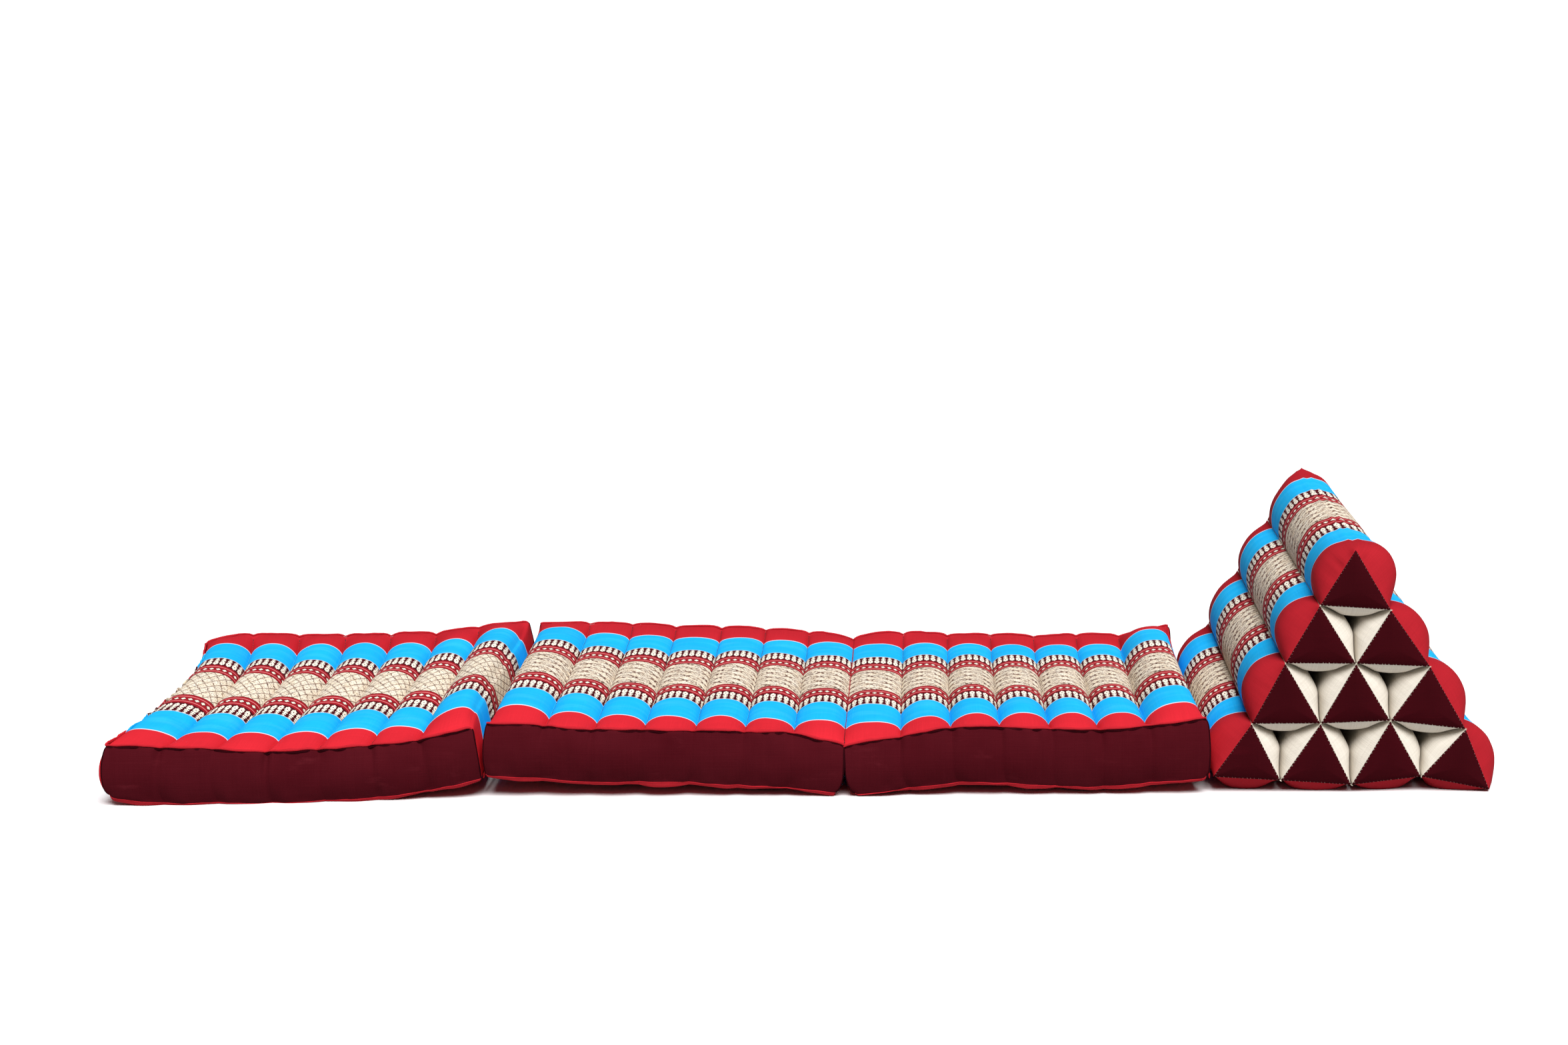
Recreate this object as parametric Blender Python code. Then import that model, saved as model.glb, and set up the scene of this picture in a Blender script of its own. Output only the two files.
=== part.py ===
"""Thai triangle cushion with three fold-out mats, opened out along a floor.

Metres, +Z up. +X runs along the chain, from the far mat to the triangle cushion, and +Y runs across
its width, away from the front. The origin is on the floor, under the middle of the whole cushion.
Each mat and each stuffed roll is one filled solid. Neighbours stand a hair apart at their seams.
"""

import math
from collections import namedtuple

import bmesh
import bpy
from mathutils import Matrix, Vector

MM = 0.001

# Driving sizes
WIDTH = 530 * MM
ROLL_PITCH = 84.6 * MM
ROW_DROP = 73.5 * MM
RIDGE_X = 515 * MM
RIDGE_Z = 308 * MM
ROLL_ROWS = 4

# Shift from the sewing layout, whose zero is near the joint of the middle and the near mat, to the part's middle
CENTRE_SHIFT = Vector((154.9 * MM, 15.5 * MM, 0))

# Relief of a mat: how far inside the top seams a channel gets its height, and how far the underside hangs below
# its seams
FRONT_SWELL_REACH = 41 * MM
BACK_SWELL_REACH = 20 * MM
FRONT_SEAM_REACH = 26 * MM
BACK_SEAM_REACH = 22 * MM
BACK_LOW_SHARE = 0.8
ARCH_FULLNESS = 2.3
BELLY = 24 * MM
BELLY_REACH = 45 * MM
BELLY_END_REACH = 40 * MM
BELLY_SHARE_AT_STITCHES = 0.6
SEAM_DRAWN_IN = 3 * MM
BAND_BULGE = 7 * MM
CORNER_BULGE_SHARE = 0.55

# Relief of a roll
OUTER_BULGE = 18.5 * MM
OUTER_BULGE_DEPTH = 42 * MM
FRONT_SWELL = 7 * MM
FRONT_SWELL_DEPTH = 38 * MM
FRONT_SWELL_SPREAD = 40 * MM
HOLLOW_TOP_BULGE = 16 * MM
HOLLOW_SIDE_BULGE = 18.5 * MM
HOLLOW_BULGE_DEPTH = 36 * MM
HOLLOW_ONSET = 3.2
WALL_FULLNESS = 2.3
BULGE_ONSET = 2.5
ROLL_INSET = 0.35 * MM
FREE_CORNER_CUT = 2 * MM
FRONT_TIP_TUCK = 5 * MM
RIDGE_DROP = 10 * MM
RIDGE_DROP_REACH = 55 * MM
RIDGE_LEAN = 5 * MM
RIDGE_LEAN_DEPTH = 90 * MM
TOP_ROLL_RIGHT_SHARE = 1.25
TOP_ROLL_LEFT_SHARE = 0.88
FOOT_SPREAD = 8 * MM
PANEL_DOME = 5 * MM
PANEL_RING_SHARE = 0.55
PANEL_RING_HEIGHT = 0.72

# How finely the solids are divided
CHANNEL_STEPS = (0.0, 0.18, 0.5, 0.82)
EDGE_STEPS = (0, 10 * MM, 26 * MM, 52 * MM, 100 * MM, 175 * MM)
BAND_STEPS = (0.2, 0.5, 0.8)
ROLL_SIDE_STEPS = 6
ROLL_END_STEPS = (0, 5 * MM, 12 * MM, 23 * MM, 42 * MM, 150 * MM)

# Cloth strips that join the mats in a chain
HINGE_THICKNESS = 1.2 * MM
HINGE_HEIGHT = 5 * MM
HINGE_END_SETBACK = 12 * MM

# Each end of a mat, in mm: how far its front and its back corner stand towards +X of its middle, the y of its
# middle, how far its bottom seam stands towards +X of the top one, by which power of the way down (a bare number),
# how far its wall bulges, how much higher than the rest the channel beside it swells near the front and near the
# back, and how much higher its back top corner stands.
End = namedtuple(
    "End", "front_out back_out y_middle foot_lean lean_power bulge front_swell back_swell back_lift"
)

# Each line stitched across a mat, its two ends included, in mm: its x, the heights of the bottom and the top
# seam at the front, and the heights of the line itself near the front and near the back.
Stitch = namedtuple("Stitch", "x low top front_valley back_valley")

# Each mat, in mm: how high its channels swell over their stitched lines near the front and near the back, and
# how high the back seam stands over those lines.
Mat = namedtuple("Mat", "name front_crest back_crest back_rise left right stitches")

MATS = (
    Mat(
        "mat_far", 12.3, 13.9, 12,
        End(-18, -29, -32, -2, 1, 9, -0.4, 2.5, -12),
        End(6, 2, -8, 14, 0.4, 2, 9.2, 7.6, 5),
        (
            Stitch(-972, 11, 77, 75, 69),
            Stitch(-911, 3, 74, 66, 73),
            Stitch(-852, 2, 70, 64, 71),
            Stitch(-793, 0, 65, 63, 70),
            Stitch(-735, 2, 67, 65, 70),
            Stitch(-677, 4, 70, 68, 71),
            Stitch(-622, 12, 76, 69, 78),
            Stitch(-563, 25, 90, 93, 81),
        ),
    ),
    Mat(
        "mat_middle", 15.9, 4.5, 5.5,
        End(2, -3, -7, -3, 1, 6, 4.5, 9.3, 0),
        End(0, 0, -7, -9, 5, 2.3, 1.5, 2.4, -5),
        (
            Stitch(-536, 29, 95, 88, 88),
            Stitch(-467, 25, 92, 86, 88),
            Stitch(-408, 20, 87, 79, 87),
            Stitch(-348, 20, 86, 76, 83),
            Stitch(-285, 19, 85, 75, 81),
            Stitch(-224, 15, 83, 74, 79),
            Stitch(-164, 12, 81, 70, 74),
            Stitch(-103, 4, 66, 69, 68),
        ),
    ),
    Mat(
        "mat_near", 19.5, 7, 8,
        End(0, 0, -7, 12, 5, 1.5, -4, -1.8, -5),
        End(4, 2, -7, 2, 1, 4, 4.8, 20, 9),
        (
            Stitch(-99, 2, 65, 69, 68),
            Stitch(-33, 10, 76, 68, 70),
            Stitch(28, 17, 87, 74, 67),
            Stitch(88, 16, 87, 76, 66),
            Stitch(148, 12, 85, 76, 64),
            Stitch(207, 11, 84, 74, 66),
            Stitch(266, 16, 88, 78, 65),
            Stitch(336, 21, 97, 88, 71),
        ),
    ),
)

# Where a sewn line of the triangle has settled, from its place in an even lattice: row 0 is the ridge, and
# line 0 of a row is the one nearest the mats.
Settled = namedtuple("Settled", "row line dx dz")

SETTLED_LINES = (
    Settled(1, 0, 1, 0),
    Settled(1, 1, 2, -6),
    Settled(2, 0, 3, 2),
    Settled(2, 1, 4, 1),
    Settled(2, 2, 9, -3),
    Settled(3, 0, 6, 0),
    Settled(3, 1, 5, 0),
    Settled(3, 2, 5, 3),
    Settled(3, 3, 12, -8),
    Settled(4, 0, 2, 7),
    Settled(4, 1, 0, 2),
    Settled(4, 2, 2, -4),
    Settled(4, 3, 2, 6),
    Settled(4, 4, 1, -11),
)

# Cloth colours (linear RGB) and how rough each one is
PRINTED_RED = ("printed_cotton", (0.42, 0.018, 0.03), 0.75)
MAROON = ("maroon_cotton", (0.06, 0.006, 0.012), 0.8)


def clear_scene():
    for thing in list(bpy.data.objects):
        bpy.data.objects.remove(thing)


def cloth_material(name, colour, roughness):
    material = bpy.data.materials.get(name) or bpy.data.materials.new(name)
    material.use_nodes = True
    shader = material.node_tree.nodes["Principled BSDF"]
    shader.inputs["Base Color"].default_value = (*colour, 1)
    shader.inputs["Roughness"].default_value = roughness
    shader.inputs["Metallic"].default_value = 0
    return material


def add_node(name, mesh_data, collection, material):
    mesh = bpy.data.meshes.new(name)
    mesh_data.to_mesh(mesh)
    mesh_data.free()
    mesh.transform(Matrix.Translation(CENTRE_SHIFT))
    mesh.shade_smooth()
    mesh.set_sharp_from_angle(angle=math.radians(40))
    mesh.materials.append(material)
    node = bpy.data.objects.new(name, mesh)
    collection.objects.link(node)
    return node


def mix(low, high, share):
    return low + (high - low) * share


def build_up(distance, reach):
    """0 at a seam, and near 1 from about three reaches inside it."""
    return 1 - math.exp(-distance / reach)


# Mats


def read_stitches(mat, along, column):
    """A column of the mat's stitched lines as a smooth curve, at a count of lines from the left."""
    rows = mat.stitches
    last = len(rows) - 1
    at = min(int(along), last - 1)
    before, low, high, after = (
        getattr(rows[min(max(at + i, 0), last)], column) for i in (-1, 0, 1, 2)
    )
    t = along - at
    return (
        low * (1 + 2 * t) * (1 - t) ** 2
        + high * t * t * (3 - 2 * t)
        + (high - before) / 2 * t * (1 - t) ** 2
        - (after - low) / 2 * t * t * (1 - t)
    )


def channel_arch(along):
    """0 at a stitched line between two channels and 1 on a channel's crest."""
    return 1 - abs(2 * (along % 1) - 1) ** ARCH_FULLNESS


def seam_height(mat, along, side, up):
    """Height of the bottom seam (up 0), the top seam (up 1) or the band between them, at the front or the back."""
    low = read_stitches(mat, along, "low")
    if side == "front":
        top = read_stitches(mat, along, "top")
    else:
        last = len(mat.stitches) - 1
        top = read_stitches(mat, along, "back_valley") + mat.back_rise
        top += mat.left.back_lift * max(0, 1 - along) ** 2
        top += mat.right.back_lift * max(0, along - last + 1) ** 2
        low *= BACK_LOW_SHARE
    return mix(max(low, 0), top, up) * MM


def wall_height(mat, along, across, up):
    return mix(
        seam_height(mat, along, "front", up),
        seam_height(mat, along, "back", up),
        (across + 1) / 2,
    )


def top_height(mat, along, across):
    """Height of the top: its seams and stitched lines, and the channels swollen between them."""
    last = len(mat.stitches) - 1
    from_front = (1 + across) * WIDTH / 2
    from_back = (1 - across) * WIDTH / 2
    front_valley = read_stitches(mat, along, "front_valley") * MM
    back_valley = read_stitches(mat, along, "back_valley") * MM
    height = valley = mix(front_valley, back_valley, (across + 1) / 2)
    height += (seam_height(mat, along, "front", 1) - valley) * math.exp(-from_front / FRONT_SEAM_REACH)
    height += (seam_height(mat, along, "back", 1) - valley) * math.exp(-from_back / BACK_SEAM_REACH)
    backwards = (across + 1) / 2
    swell = mix(mat.front_crest, mat.back_crest, backwards)
    if along < 1:
        swell += mix(mat.left.front_swell, mat.left.back_swell, backwards)
    if along > last - 1:
        swell += mix(mat.right.front_swell, mat.right.back_swell, backwards)
    grown = build_up(from_front, FRONT_SWELL_REACH) * build_up(from_back, BACK_SWELL_REACH)
    return height + swell * MM * channel_arch(along) * grown


def belly(mat, along, across):
    """How far the underside hangs below its seams."""
    last = len(mat.stitches) - 1
    hang = mix(BELLY_SHARE_AT_STITCHES, 1, channel_arch(along))
    inside = (1 - abs(across)) * WIDTH / 2
    from_end = min(along, last - along) * WIDTH / last
    return BELLY * hang * build_up(inside, BELLY_REACH) * build_up(from_end, BELLY_END_REACH)


def mat_point(mat, along, across, up):
    """The point of a mat at a count of stitched lines from its left, across -1 to 1 and up 0 to 1."""
    ends = (mat.left, mat.right)
    span = mat.stitches[-1].x - mat.stitches[0].x
    share = (read_stitches(mat, along, "x") - mat.stitches[0].x) / span
    fullness = 4 * up * (1 - up)
    corner = abs(2 * share - 1) ** 6 * abs(across) ** 6
    wall = fullness * mix(1, CORNER_BULGE_SHARE, corner)

    out = [(end.front_out if across < 0 else end.back_out) * across**2 for end in ends]
    lean = [end.foot_lean * (1 - up) ** end.lean_power for end in ends]
    bulge = (-mat.left.bulge * wall, mat.right.bulge * wall)
    shift = [sum(parts) for parts in zip(out, lean, bulge)]
    x = (mat.stitches[0].x + span * share + mix(*shift, share)) * MM

    middle = mix(mat.left.y_middle, mat.right.y_middle, share) * MM
    drawn_in = SEAM_DRAWN_IN * (1 - channel_arch(along)) * (1 - fullness)
    y = middle + (WIDTH / 2 + BAND_BULGE * wall - drawn_in) * across

    z = wall_height(mat, along, across, up)
    if up == 1:
        z = top_height(mat, along, across)
    if up == 0:
        z -= belly(mat, along, across)
    return Vector((x, y, max(z, 0)))


def box_steps():
    """Where the mat's box is cut: along its length, across its width and up its sides."""
    channels = range(len(MATS[0].stitches) - 1)
    along = [channel + t for channel in channels for t in CHANNEL_STEPS][1:]
    near = [step / (WIDTH / 2) - 1 for step in EDGE_STEPS[1:]]
    across = near + [0] + [-a for a in reversed(near)]
    return along, across, list(BAND_STEPS)


def cut_box():
    """A box (0 to the last line, -1 to 1, 0 to 1) whose faces are divided by planes at the steps."""
    last = len(MATS[0].stitches) - 1
    box = bmesh.new()
    bmesh.ops.create_cube(box, size=1)
    for vertex in box.verts:
        vertex.co = Vector(((vertex.co.x + 0.5) * last, vertex.co.y * 2, vertex.co.z + 0.5))
    for axis, steps in enumerate(box_steps()):
        normal = Vector([1 if i == axis else 0 for i in range(3)])
        for step in steps:
            everything = box.verts[:] + box.edges[:] + box.faces[:]
            bmesh.ops.bisect_plane(box, geom=everything, plane_co=normal * step, plane_no=normal)
    return box


def snapped(value, ends):
    """The value, or the end of its range that it lies on."""
    for end in ends:
        if abs(value - end) < 1e-5:
            return end
    return value


def make_mat(mat, collection, material):
    box = cut_box()
    for vertex in box.verts:
        along = snapped(vertex.co.x, (0, len(mat.stitches) - 1))
        across = snapped(vertex.co.y, (-1, 1))
        up = snapped(vertex.co.z, (0, 1))
        vertex.co = mat_point(mat, along, across, up)
    bmesh.ops.triangulate(box, faces=box.faces[:])
    return add_node(mat.name, box, collection, material)


# Triangle cushion


def sewn_line(row, line):
    """x and z of a line where rolls are sewn together, as a 2D point."""
    point = Vector((RIDGE_X + (line - row / 2) * ROLL_PITCH, RIDGE_Z - row * ROW_DROP))
    for settled in SETTLED_LINES:
        if (settled.row, settled.line) == (row, line):
            point += Vector((settled.dx, settled.dz)) * MM
    return point


def half_angle_slope(corner, first, second):
    """Tangent of half the angle at a corner between the ways to two other points."""
    return math.tan((first - corner).angle(second - corner) / 2)


def wall_arch(t):
    return 1 - abs(2 * t - 1) ** WALL_FULLNESS


def inner_offset(start, end, tip, t, bulge):
    """How far a wall bulges into the hollow start, end, tip, where its neighbours press back along the bisectors."""
    side = (end - start).length
    from_start = t * side * half_angle_slope(start, end, tip)
    from_end = (1 - t) * side * half_angle_slope(end, start, tip)
    return min(from_start, from_end, bulge * wall_arch(t))


def outer_offset(t, from_front):
    """How far a wall bulges where it faces outwards: most of all a little behind the front."""
    away = (from_front - FRONT_SWELL_DEPTH) / FRONT_SWELL_SPREAD
    return (OUTER_BULGE + FRONT_SWELL * math.exp(-(away**2))) * wall_arch(t)


def onset(distance, depth, power=BULGE_ONSET):
    """0 at the roll's end panel, rising fast to 1 at that depth."""
    return 1 - (1 - min(distance / depth, 1)) ** power


def roll_sides(row, place):
    """The three sides of a roll, anticlockwise from its left foot: start, end, and the hollow's far corner if any."""
    top = sewn_line(row, place)
    left = sewn_line(row + 1, place)
    right = sewn_line(row + 1, place + 1)
    below = sewn_line(row + 2, place + 1) if row < ROLL_ROWS - 1 else None
    beyond_right = sewn_line(row, place + 1) if place < row else None
    beyond_left = sewn_line(row, place - 1) if place > 0 else None
    return ((left, right, below), (right, top, beyond_right), (top, left, beyond_left))


def share_to_ridge(row, side, t):
    """How near the ridge a place on the top roll's outline is, from 0 at its feet; 0 on other rolls."""
    if row > 0 or side == 0:
        return 0
    return t if side == 1 else 1 - t


def share_to_foot(row, place, side, t):
    """How near the outer foot of the last roll in the base a place on its outline is; 0 on other rolls."""
    if (row, place) != (ROLL_ROWS - 1, ROLL_ROWS - 1) or side == 2:
        return 0
    return t if side == 0 else 1 - t


def roll_point(row, place, step, from_front):
    """A point of the roll's outline at a step round it, at a distance from its front end panel."""
    from_end = min(from_front, WIDTH - from_front)
    sides = roll_sides(row, place)
    side, part = divmod(step, ROLL_SIDE_STEPS)
    start, end, hollow = sides[side]
    t = part / ROLL_SIDE_STEPS
    way = (end - start).normalized()
    outward = Vector((way.y, -way.x))
    if hollow is None:
        bulge = outer_offset(t, from_front) * onset(from_end, OUTER_BULGE_DEPTH)
        if row == 0:
            bulge *= TOP_ROLL_RIGHT_SHARE if side == 1 else TOP_ROLL_LEFT_SHARE
    else:
        full = HOLLOW_TOP_BULGE if side == 0 else HOLLOW_SIDE_BULGE
        bulge = inner_offset(start, end, hollow, t, full) * onset(from_end, HOLLOW_BULGE_DEPTH, HOLLOW_ONSET)
    middle = sum((s[0] for s in sides), Vector((0, 0))) / 3
    point = start.lerp(end, t) + outward * bulge

    free_corner = part == 0 and hollow is None and sides[side - 1][2] is None
    inset = ROLL_INSET * (2 if part == 0 else 1)
    if free_corner:
        inset += FREE_CORNER_CUT * onset(from_end, OUTER_BULGE_DEPTH)
    point += (middle - point).normalized() * inset
    ridge = share_to_ridge(row, side, t)
    spread = FOOT_SPREAD * share_to_foot(row, place, side, t) ** 5 * onset(from_end, OUTER_BULGE_DEPTH)
    lean = RIDGE_LEAN * ridge**1.5 * onset(from_front, RIDGE_LEAN_DEPTH)
    height = point.y - FRONT_TIP_TUCK * ridge * (1 - onset(from_front, OUTER_BULGE_DEPTH))
    height -= RIDGE_DROP * ridge**6 * build_up(from_end, RIDGE_DROP_REACH)
    return Vector((point.x + spread + lean, from_front - WIDTH / 2, max(height, 0)))


def make_roll(row, place, collection, material):
    """A drum whose rings become the roll's sections, with a domed panel at each end."""
    steps = 3 * ROLL_SIDE_STEPS
    stations = [*ROLL_END_STEPS, WIDTH / 2, *(WIDTH - d for d in reversed(ROLL_END_STEPS))]
    drum = bmesh.new()
    bmesh.ops.create_cone(drum, cap_ends=True, segments=steps, radius1=1, radius2=1, depth=WIDTH)
    for vertex in drum.verts:
        vertex.co = Vector((vertex.co.x, vertex.co.z, vertex.co.y))
    bmesh.ops.reverse_faces(drum, faces=drum.faces[:])
    for station in stations[1:-1]:
        everything = drum.verts[:] + drum.edges[:] + drum.faces[:]
        cut = Vector((0, station - WIDTH / 2, 0))
        bmesh.ops.bisect_plane(drum, geom=everything, plane_co=cut, plane_no=(0, 1, 0))
    panels = [face for face in drum.faces if len(face.verts) > 4]
    sections = {}
    for vertex in drum.verts:
        turn = math.atan2(vertex.co.z, vertex.co.x) / (2 * math.pi)
        sections[vertex] = round(turn * steps) % steps
    for vertex, step in sections.items():
        vertex.co = roll_point(row, place, step, vertex.co.y + WIDTH / 2)
    for panel in panels:
        dome_panel(drum, panel)
    bmesh.ops.triangulate(drum, faces=drum.faces[:])
    return add_node(f"roll_{row + 1}_{place + 1}", drum, collection, material)


def dome_panel(drum, panel):
    """Insets the end panel once and fans it from its middle, both raised outwards."""
    middle = panel.calc_center_median()
    outwards = Vector((0, math.copysign(1, middle.y), 0))
    bmesh.ops.inset_region(drum, faces=[panel], thickness=1 * MM, use_even_offset=False)
    for vertex in panel.verts:
        spokes = [edge for edge in vertex.link_edges if edge not in panel.edges]
        rim = spokes[0].other_vert(vertex)
        vertex.co = middle.lerp(rim.co, PANEL_RING_SHARE) + outwards * PANEL_DOME * PANEL_RING_HEIGHT
    fan = bmesh.ops.poke(drum, faces=[panel])
    fan["verts"][0].co = middle + outwards * PANEL_DOME


# Cloth strips between the mats


def make_hinge(name, front, back, collection, material):
    """A thin upright strip from a front point to a back point, both at the strip's middle."""
    run = back - front
    strip = bmesh.new()
    bmesh.ops.create_cube(strip, size=1)
    for vertex in strip.verts:
        share = vertex.co.y + 0.5
        setback = HINGE_END_SETBACK / run.length
        middle = front + run * mix(setback, 1 - setback, share)
        vertex.co = middle + Vector((vertex.co.x * HINGE_THICKNESS, 0, vertex.co.z * HINGE_HEIGHT))
    return add_node(name, strip, collection, material)


def between(first, second, up):
    """The front and back points halfway between the facing ends of two neighbours, at their seams."""
    points = []
    for across in (-1, 1):
        one = mat_point(first, len(first.stitches) - 1, across, up)
        two = mat_point(second, 0, across, up)
        points.append((one + two) / 2)
    return points


def make_hinges(collection, material):
    far, middle, near = MATS
    lift = Vector((0, 0, HINGE_HEIGHT / 2))
    front, back = between(far, middle, 0)
    make_hinge("hinge_far", front + lift, back + lift, collection, material)
    front, back = between(middle, near, 1)
    make_hinge("hinge_middle", front - lift, back - lift, collection, material)
    foot = sewn_line(ROLL_ROWS, 0)
    points = []
    for across in (-1, 1):
        mat_foot = mat_point(near, len(near.stitches) - 1, across, 0)
        x = (mat_foot.x + foot.x) / 2
        points.append(Vector((x, mat_foot.y, mat_foot.z)) + lift)
    make_hinge("hinge_near", *points, collection, material)


def main():
    clear_scene()
    collection = bpy.data.collections.new("thai_triangle_cushion")
    bpy.context.scene.collection.children.link(collection)
    printed = cloth_material(*PRINTED_RED)
    maroon = cloth_material(*MAROON)
    for mat in MATS:
        make_mat(mat, collection, printed)
    for row in range(ROLL_ROWS):
        for place in range(row + 1):
            make_roll(row, place, collection, maroon)
    make_hinges(collection, printed)


main()
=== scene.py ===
"""Looks of the Thai triangle cushion: its cloth skins, seams, stitching, floor, light and camera.

Metres, +Z up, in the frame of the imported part. Each mat and each stuffed roll gets a finely divided cloth
skin on the same sizes as its solid, with the lumps, puckers and seam folds that cloth has over the filling.
"""

import math
import random
from collections import namedtuple
from functools import partialmethod

import bmesh
import bpy
from mathutils import Matrix, Vector, noise


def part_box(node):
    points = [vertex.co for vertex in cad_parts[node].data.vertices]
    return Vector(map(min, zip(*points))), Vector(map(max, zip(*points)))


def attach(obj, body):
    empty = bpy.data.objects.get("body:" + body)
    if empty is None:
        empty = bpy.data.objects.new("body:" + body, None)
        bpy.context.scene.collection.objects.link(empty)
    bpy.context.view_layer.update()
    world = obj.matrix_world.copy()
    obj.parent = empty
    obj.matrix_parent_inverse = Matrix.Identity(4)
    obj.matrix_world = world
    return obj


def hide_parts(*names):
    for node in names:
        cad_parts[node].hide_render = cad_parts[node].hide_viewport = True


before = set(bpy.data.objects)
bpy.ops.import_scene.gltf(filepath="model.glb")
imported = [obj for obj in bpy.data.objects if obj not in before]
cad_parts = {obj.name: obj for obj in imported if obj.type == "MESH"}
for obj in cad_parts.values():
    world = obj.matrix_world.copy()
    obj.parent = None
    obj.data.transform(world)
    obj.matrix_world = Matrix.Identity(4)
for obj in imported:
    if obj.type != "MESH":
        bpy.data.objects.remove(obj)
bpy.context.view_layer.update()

MM = 0.001
CENTRE_SHIFT = Vector((154.9 * MM, 15.5 * MM, 0))

# Sizes of the solids
WIDTH = 530 * MM
ROLL_PITCH = 84.6 * MM
ROW_DROP = 73.5 * MM
RIDGE_X = 515 * MM
RIDGE_Z = 308 * MM
ROLL_ROWS = 4

# Relief of a mat
FRONT_SWELL_REACH = 41 * MM
BACK_SWELL_REACH = 20 * MM
FRONT_SEAM_REACH = 26 * MM
BACK_SEAM_REACH = 22 * MM
BACK_LOW_SHARE = 0.8
ARCH_FULLNESS = 2.3
BELLY = 24 * MM
BELLY_REACH = 45 * MM
BELLY_END_REACH = 40 * MM
BELLY_SHARE_AT_STITCHES = 0.6
SEAM_DRAWN_IN = 3 * MM
BAND_BULGE = 7 * MM
CORNER_BULGE_SHARE = 0.55

# Relief of a roll
OUTER_BULGE = 18.5 * MM
OUTER_BULGE_DEPTH = 42 * MM
FRONT_SWELL = 7 * MM
FRONT_SWELL_DEPTH = 38 * MM
FRONT_SWELL_SPREAD = 40 * MM
HOLLOW_TOP_BULGE = 16 * MM
HOLLOW_SIDE_BULGE = 18.5 * MM
HOLLOW_BULGE_DEPTH = 36 * MM
HOLLOW_ONSET = 3.2
WALL_FULLNESS = 2.3
BULGE_ONSET = 2.5
ROLL_INSET = 0.2 * MM
FREE_CORNER_CUT = 2 * MM
FRONT_TIP_TUCK = 5 * MM
RIDGE_DROP = 10 * MM
RIDGE_DROP_REACH = 55 * MM
CROWN_FILL = 5.4 * MM
RIDGE_LEAN = 5 * MM
RIDGE_LEAN_DEPTH = 90 * MM
TOP_ROLL_RIGHT_SHARE = 1.25
TOP_ROLL_LEFT_SHARE = 0.88
FOOT_SPREAD = 8 * MM
PANEL_DOME = 5 * MM

# How finely the cloth is divided
CHANNEL_STEPS = (0, 0.012, 0.03, 0.055, 0.09, 0.13, 0.175, 0.225, 0.28, 0.335, 0.39, 0.445)
UP_STEPS = (0, 0.03, 0.07, 0.12, 0.18, 0.26, 0.35, 0.44, 0.53, 0.62, 0.71, 0.79, 0.86, 0.92, 0.96, 0.985, 1)
SEAM_STEPS = (0, 1.2, 3, 5.5, 8.5, 12, 16, 20.5, 25.5, 31, 37, 43.5, 50.5, 58)
MIDDLE_STEP = 8
ROLL_SIDE_STEPS = 24
ROLL_END_STEPS = (0, 1, 2.2, 3.8, 6, 8.5, 11.5, 15, 19, 23.5, 28.5, 34, 40, 46.5, 54)
PANEL_RINGS = 12

# Each end of a mat, in mm: the part's own sizes, how long the rounding of its top edge, of its bands' top
# corners and of its foot is, how far its top is drawn towards the neighbour it is sewn to there, and how far
# the hollow beside its last stitched line is filled out
End = namedtuple(
    "End",
    "front_out back_out y_middle foot_lean lean_power bulge front_swell back_swell back_lift "
    "top_round corner_round foot_round drawn_over filled_out",
)
Stitch = namedtuple("Stitch", "x low top front_valley back_valley")
Mat = namedtuple("Mat", "name front_crest back_crest back_rise left right stitches")

MATS = (
    Mat(
        "mat_far", 12.3, 13.9, 12,
        End(-18, -29, -32, -2, 1, 9, -0.4, 2.5, -8, 5, 6, 14, 0, 0),
        End(6, 2, -8, 14, 0.4, 2, 9.2, 7.6, 5, 11, 6, 3, 0, 4.5),
        (
            Stitch(-972, 11, 77, 75, 69),
            Stitch(-911, 3, 74, 66, 73),
            Stitch(-852, 2, 70, 64, 71),
            Stitch(-793, 0, 65, 63, 70),
            Stitch(-735, 2, 67, 65, 70),
            Stitch(-677, 4, 70, 68, 71),
            Stitch(-622, 12, 76, 69, 78),
            Stitch(-563, 25, 90, 93, 81),
        ),
    ),
    Mat(
        "mat_middle", 15.9, 4.5, 5.5,
        End(2, -3, -7, -3, 1, 6, 4.5, 9.3, 0, 10, 4, 3, 0, 0),
        End(0, 0, -7, -9, 5, 2.3, 1.5, 2.4, -5, 0, 0, 6, 2.1, 0),
        (
            Stitch(-536, 29, 95, 88, 88),
            Stitch(-467, 25, 92, 86, 88),
            Stitch(-408, 20, 87, 79, 87),
            Stitch(-348, 20, 86, 76, 83),
            Stitch(-285, 19, 85, 75, 81),
            Stitch(-224, 15, 83, 74, 79),
            Stitch(-164, 12, 81, 70, 74),
            Stitch(-103, 4, 66, 69, 68),
        ),
    ),
    Mat(
        "mat_near", 19.5, 7, 8,
        End(0, 0, -7, 12, 5, 1.5, -4, -1.8, -5, 0, 0, 6, 2.1, 0),
        End(4, 2, -7, 2, 1, 4, 4.8, 20, 9, 12, 10, 12, 0, 0),
        (
            Stitch(-99, 2, 65, 69, 68),
            Stitch(-33, 10, 76, 68, 70),
            Stitch(28, 17, 87, 74, 67),
            Stitch(88, 16, 87, 76, 66),
            Stitch(148, 12, 85, 76, 64),
            Stitch(207, 11, 84, 74, 66),
            Stitch(266, 16, 88, 78, 65),
            Stitch(336, 21, 97, 88, 71),
        ),
    ),
)
CHANNELS = len(MATS[0].stitches) - 1

# Where a sewn line of the triangle has settled, from its place in an even lattice, in mm
Settled = namedtuple("Settled", "row line dx dz")

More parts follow.
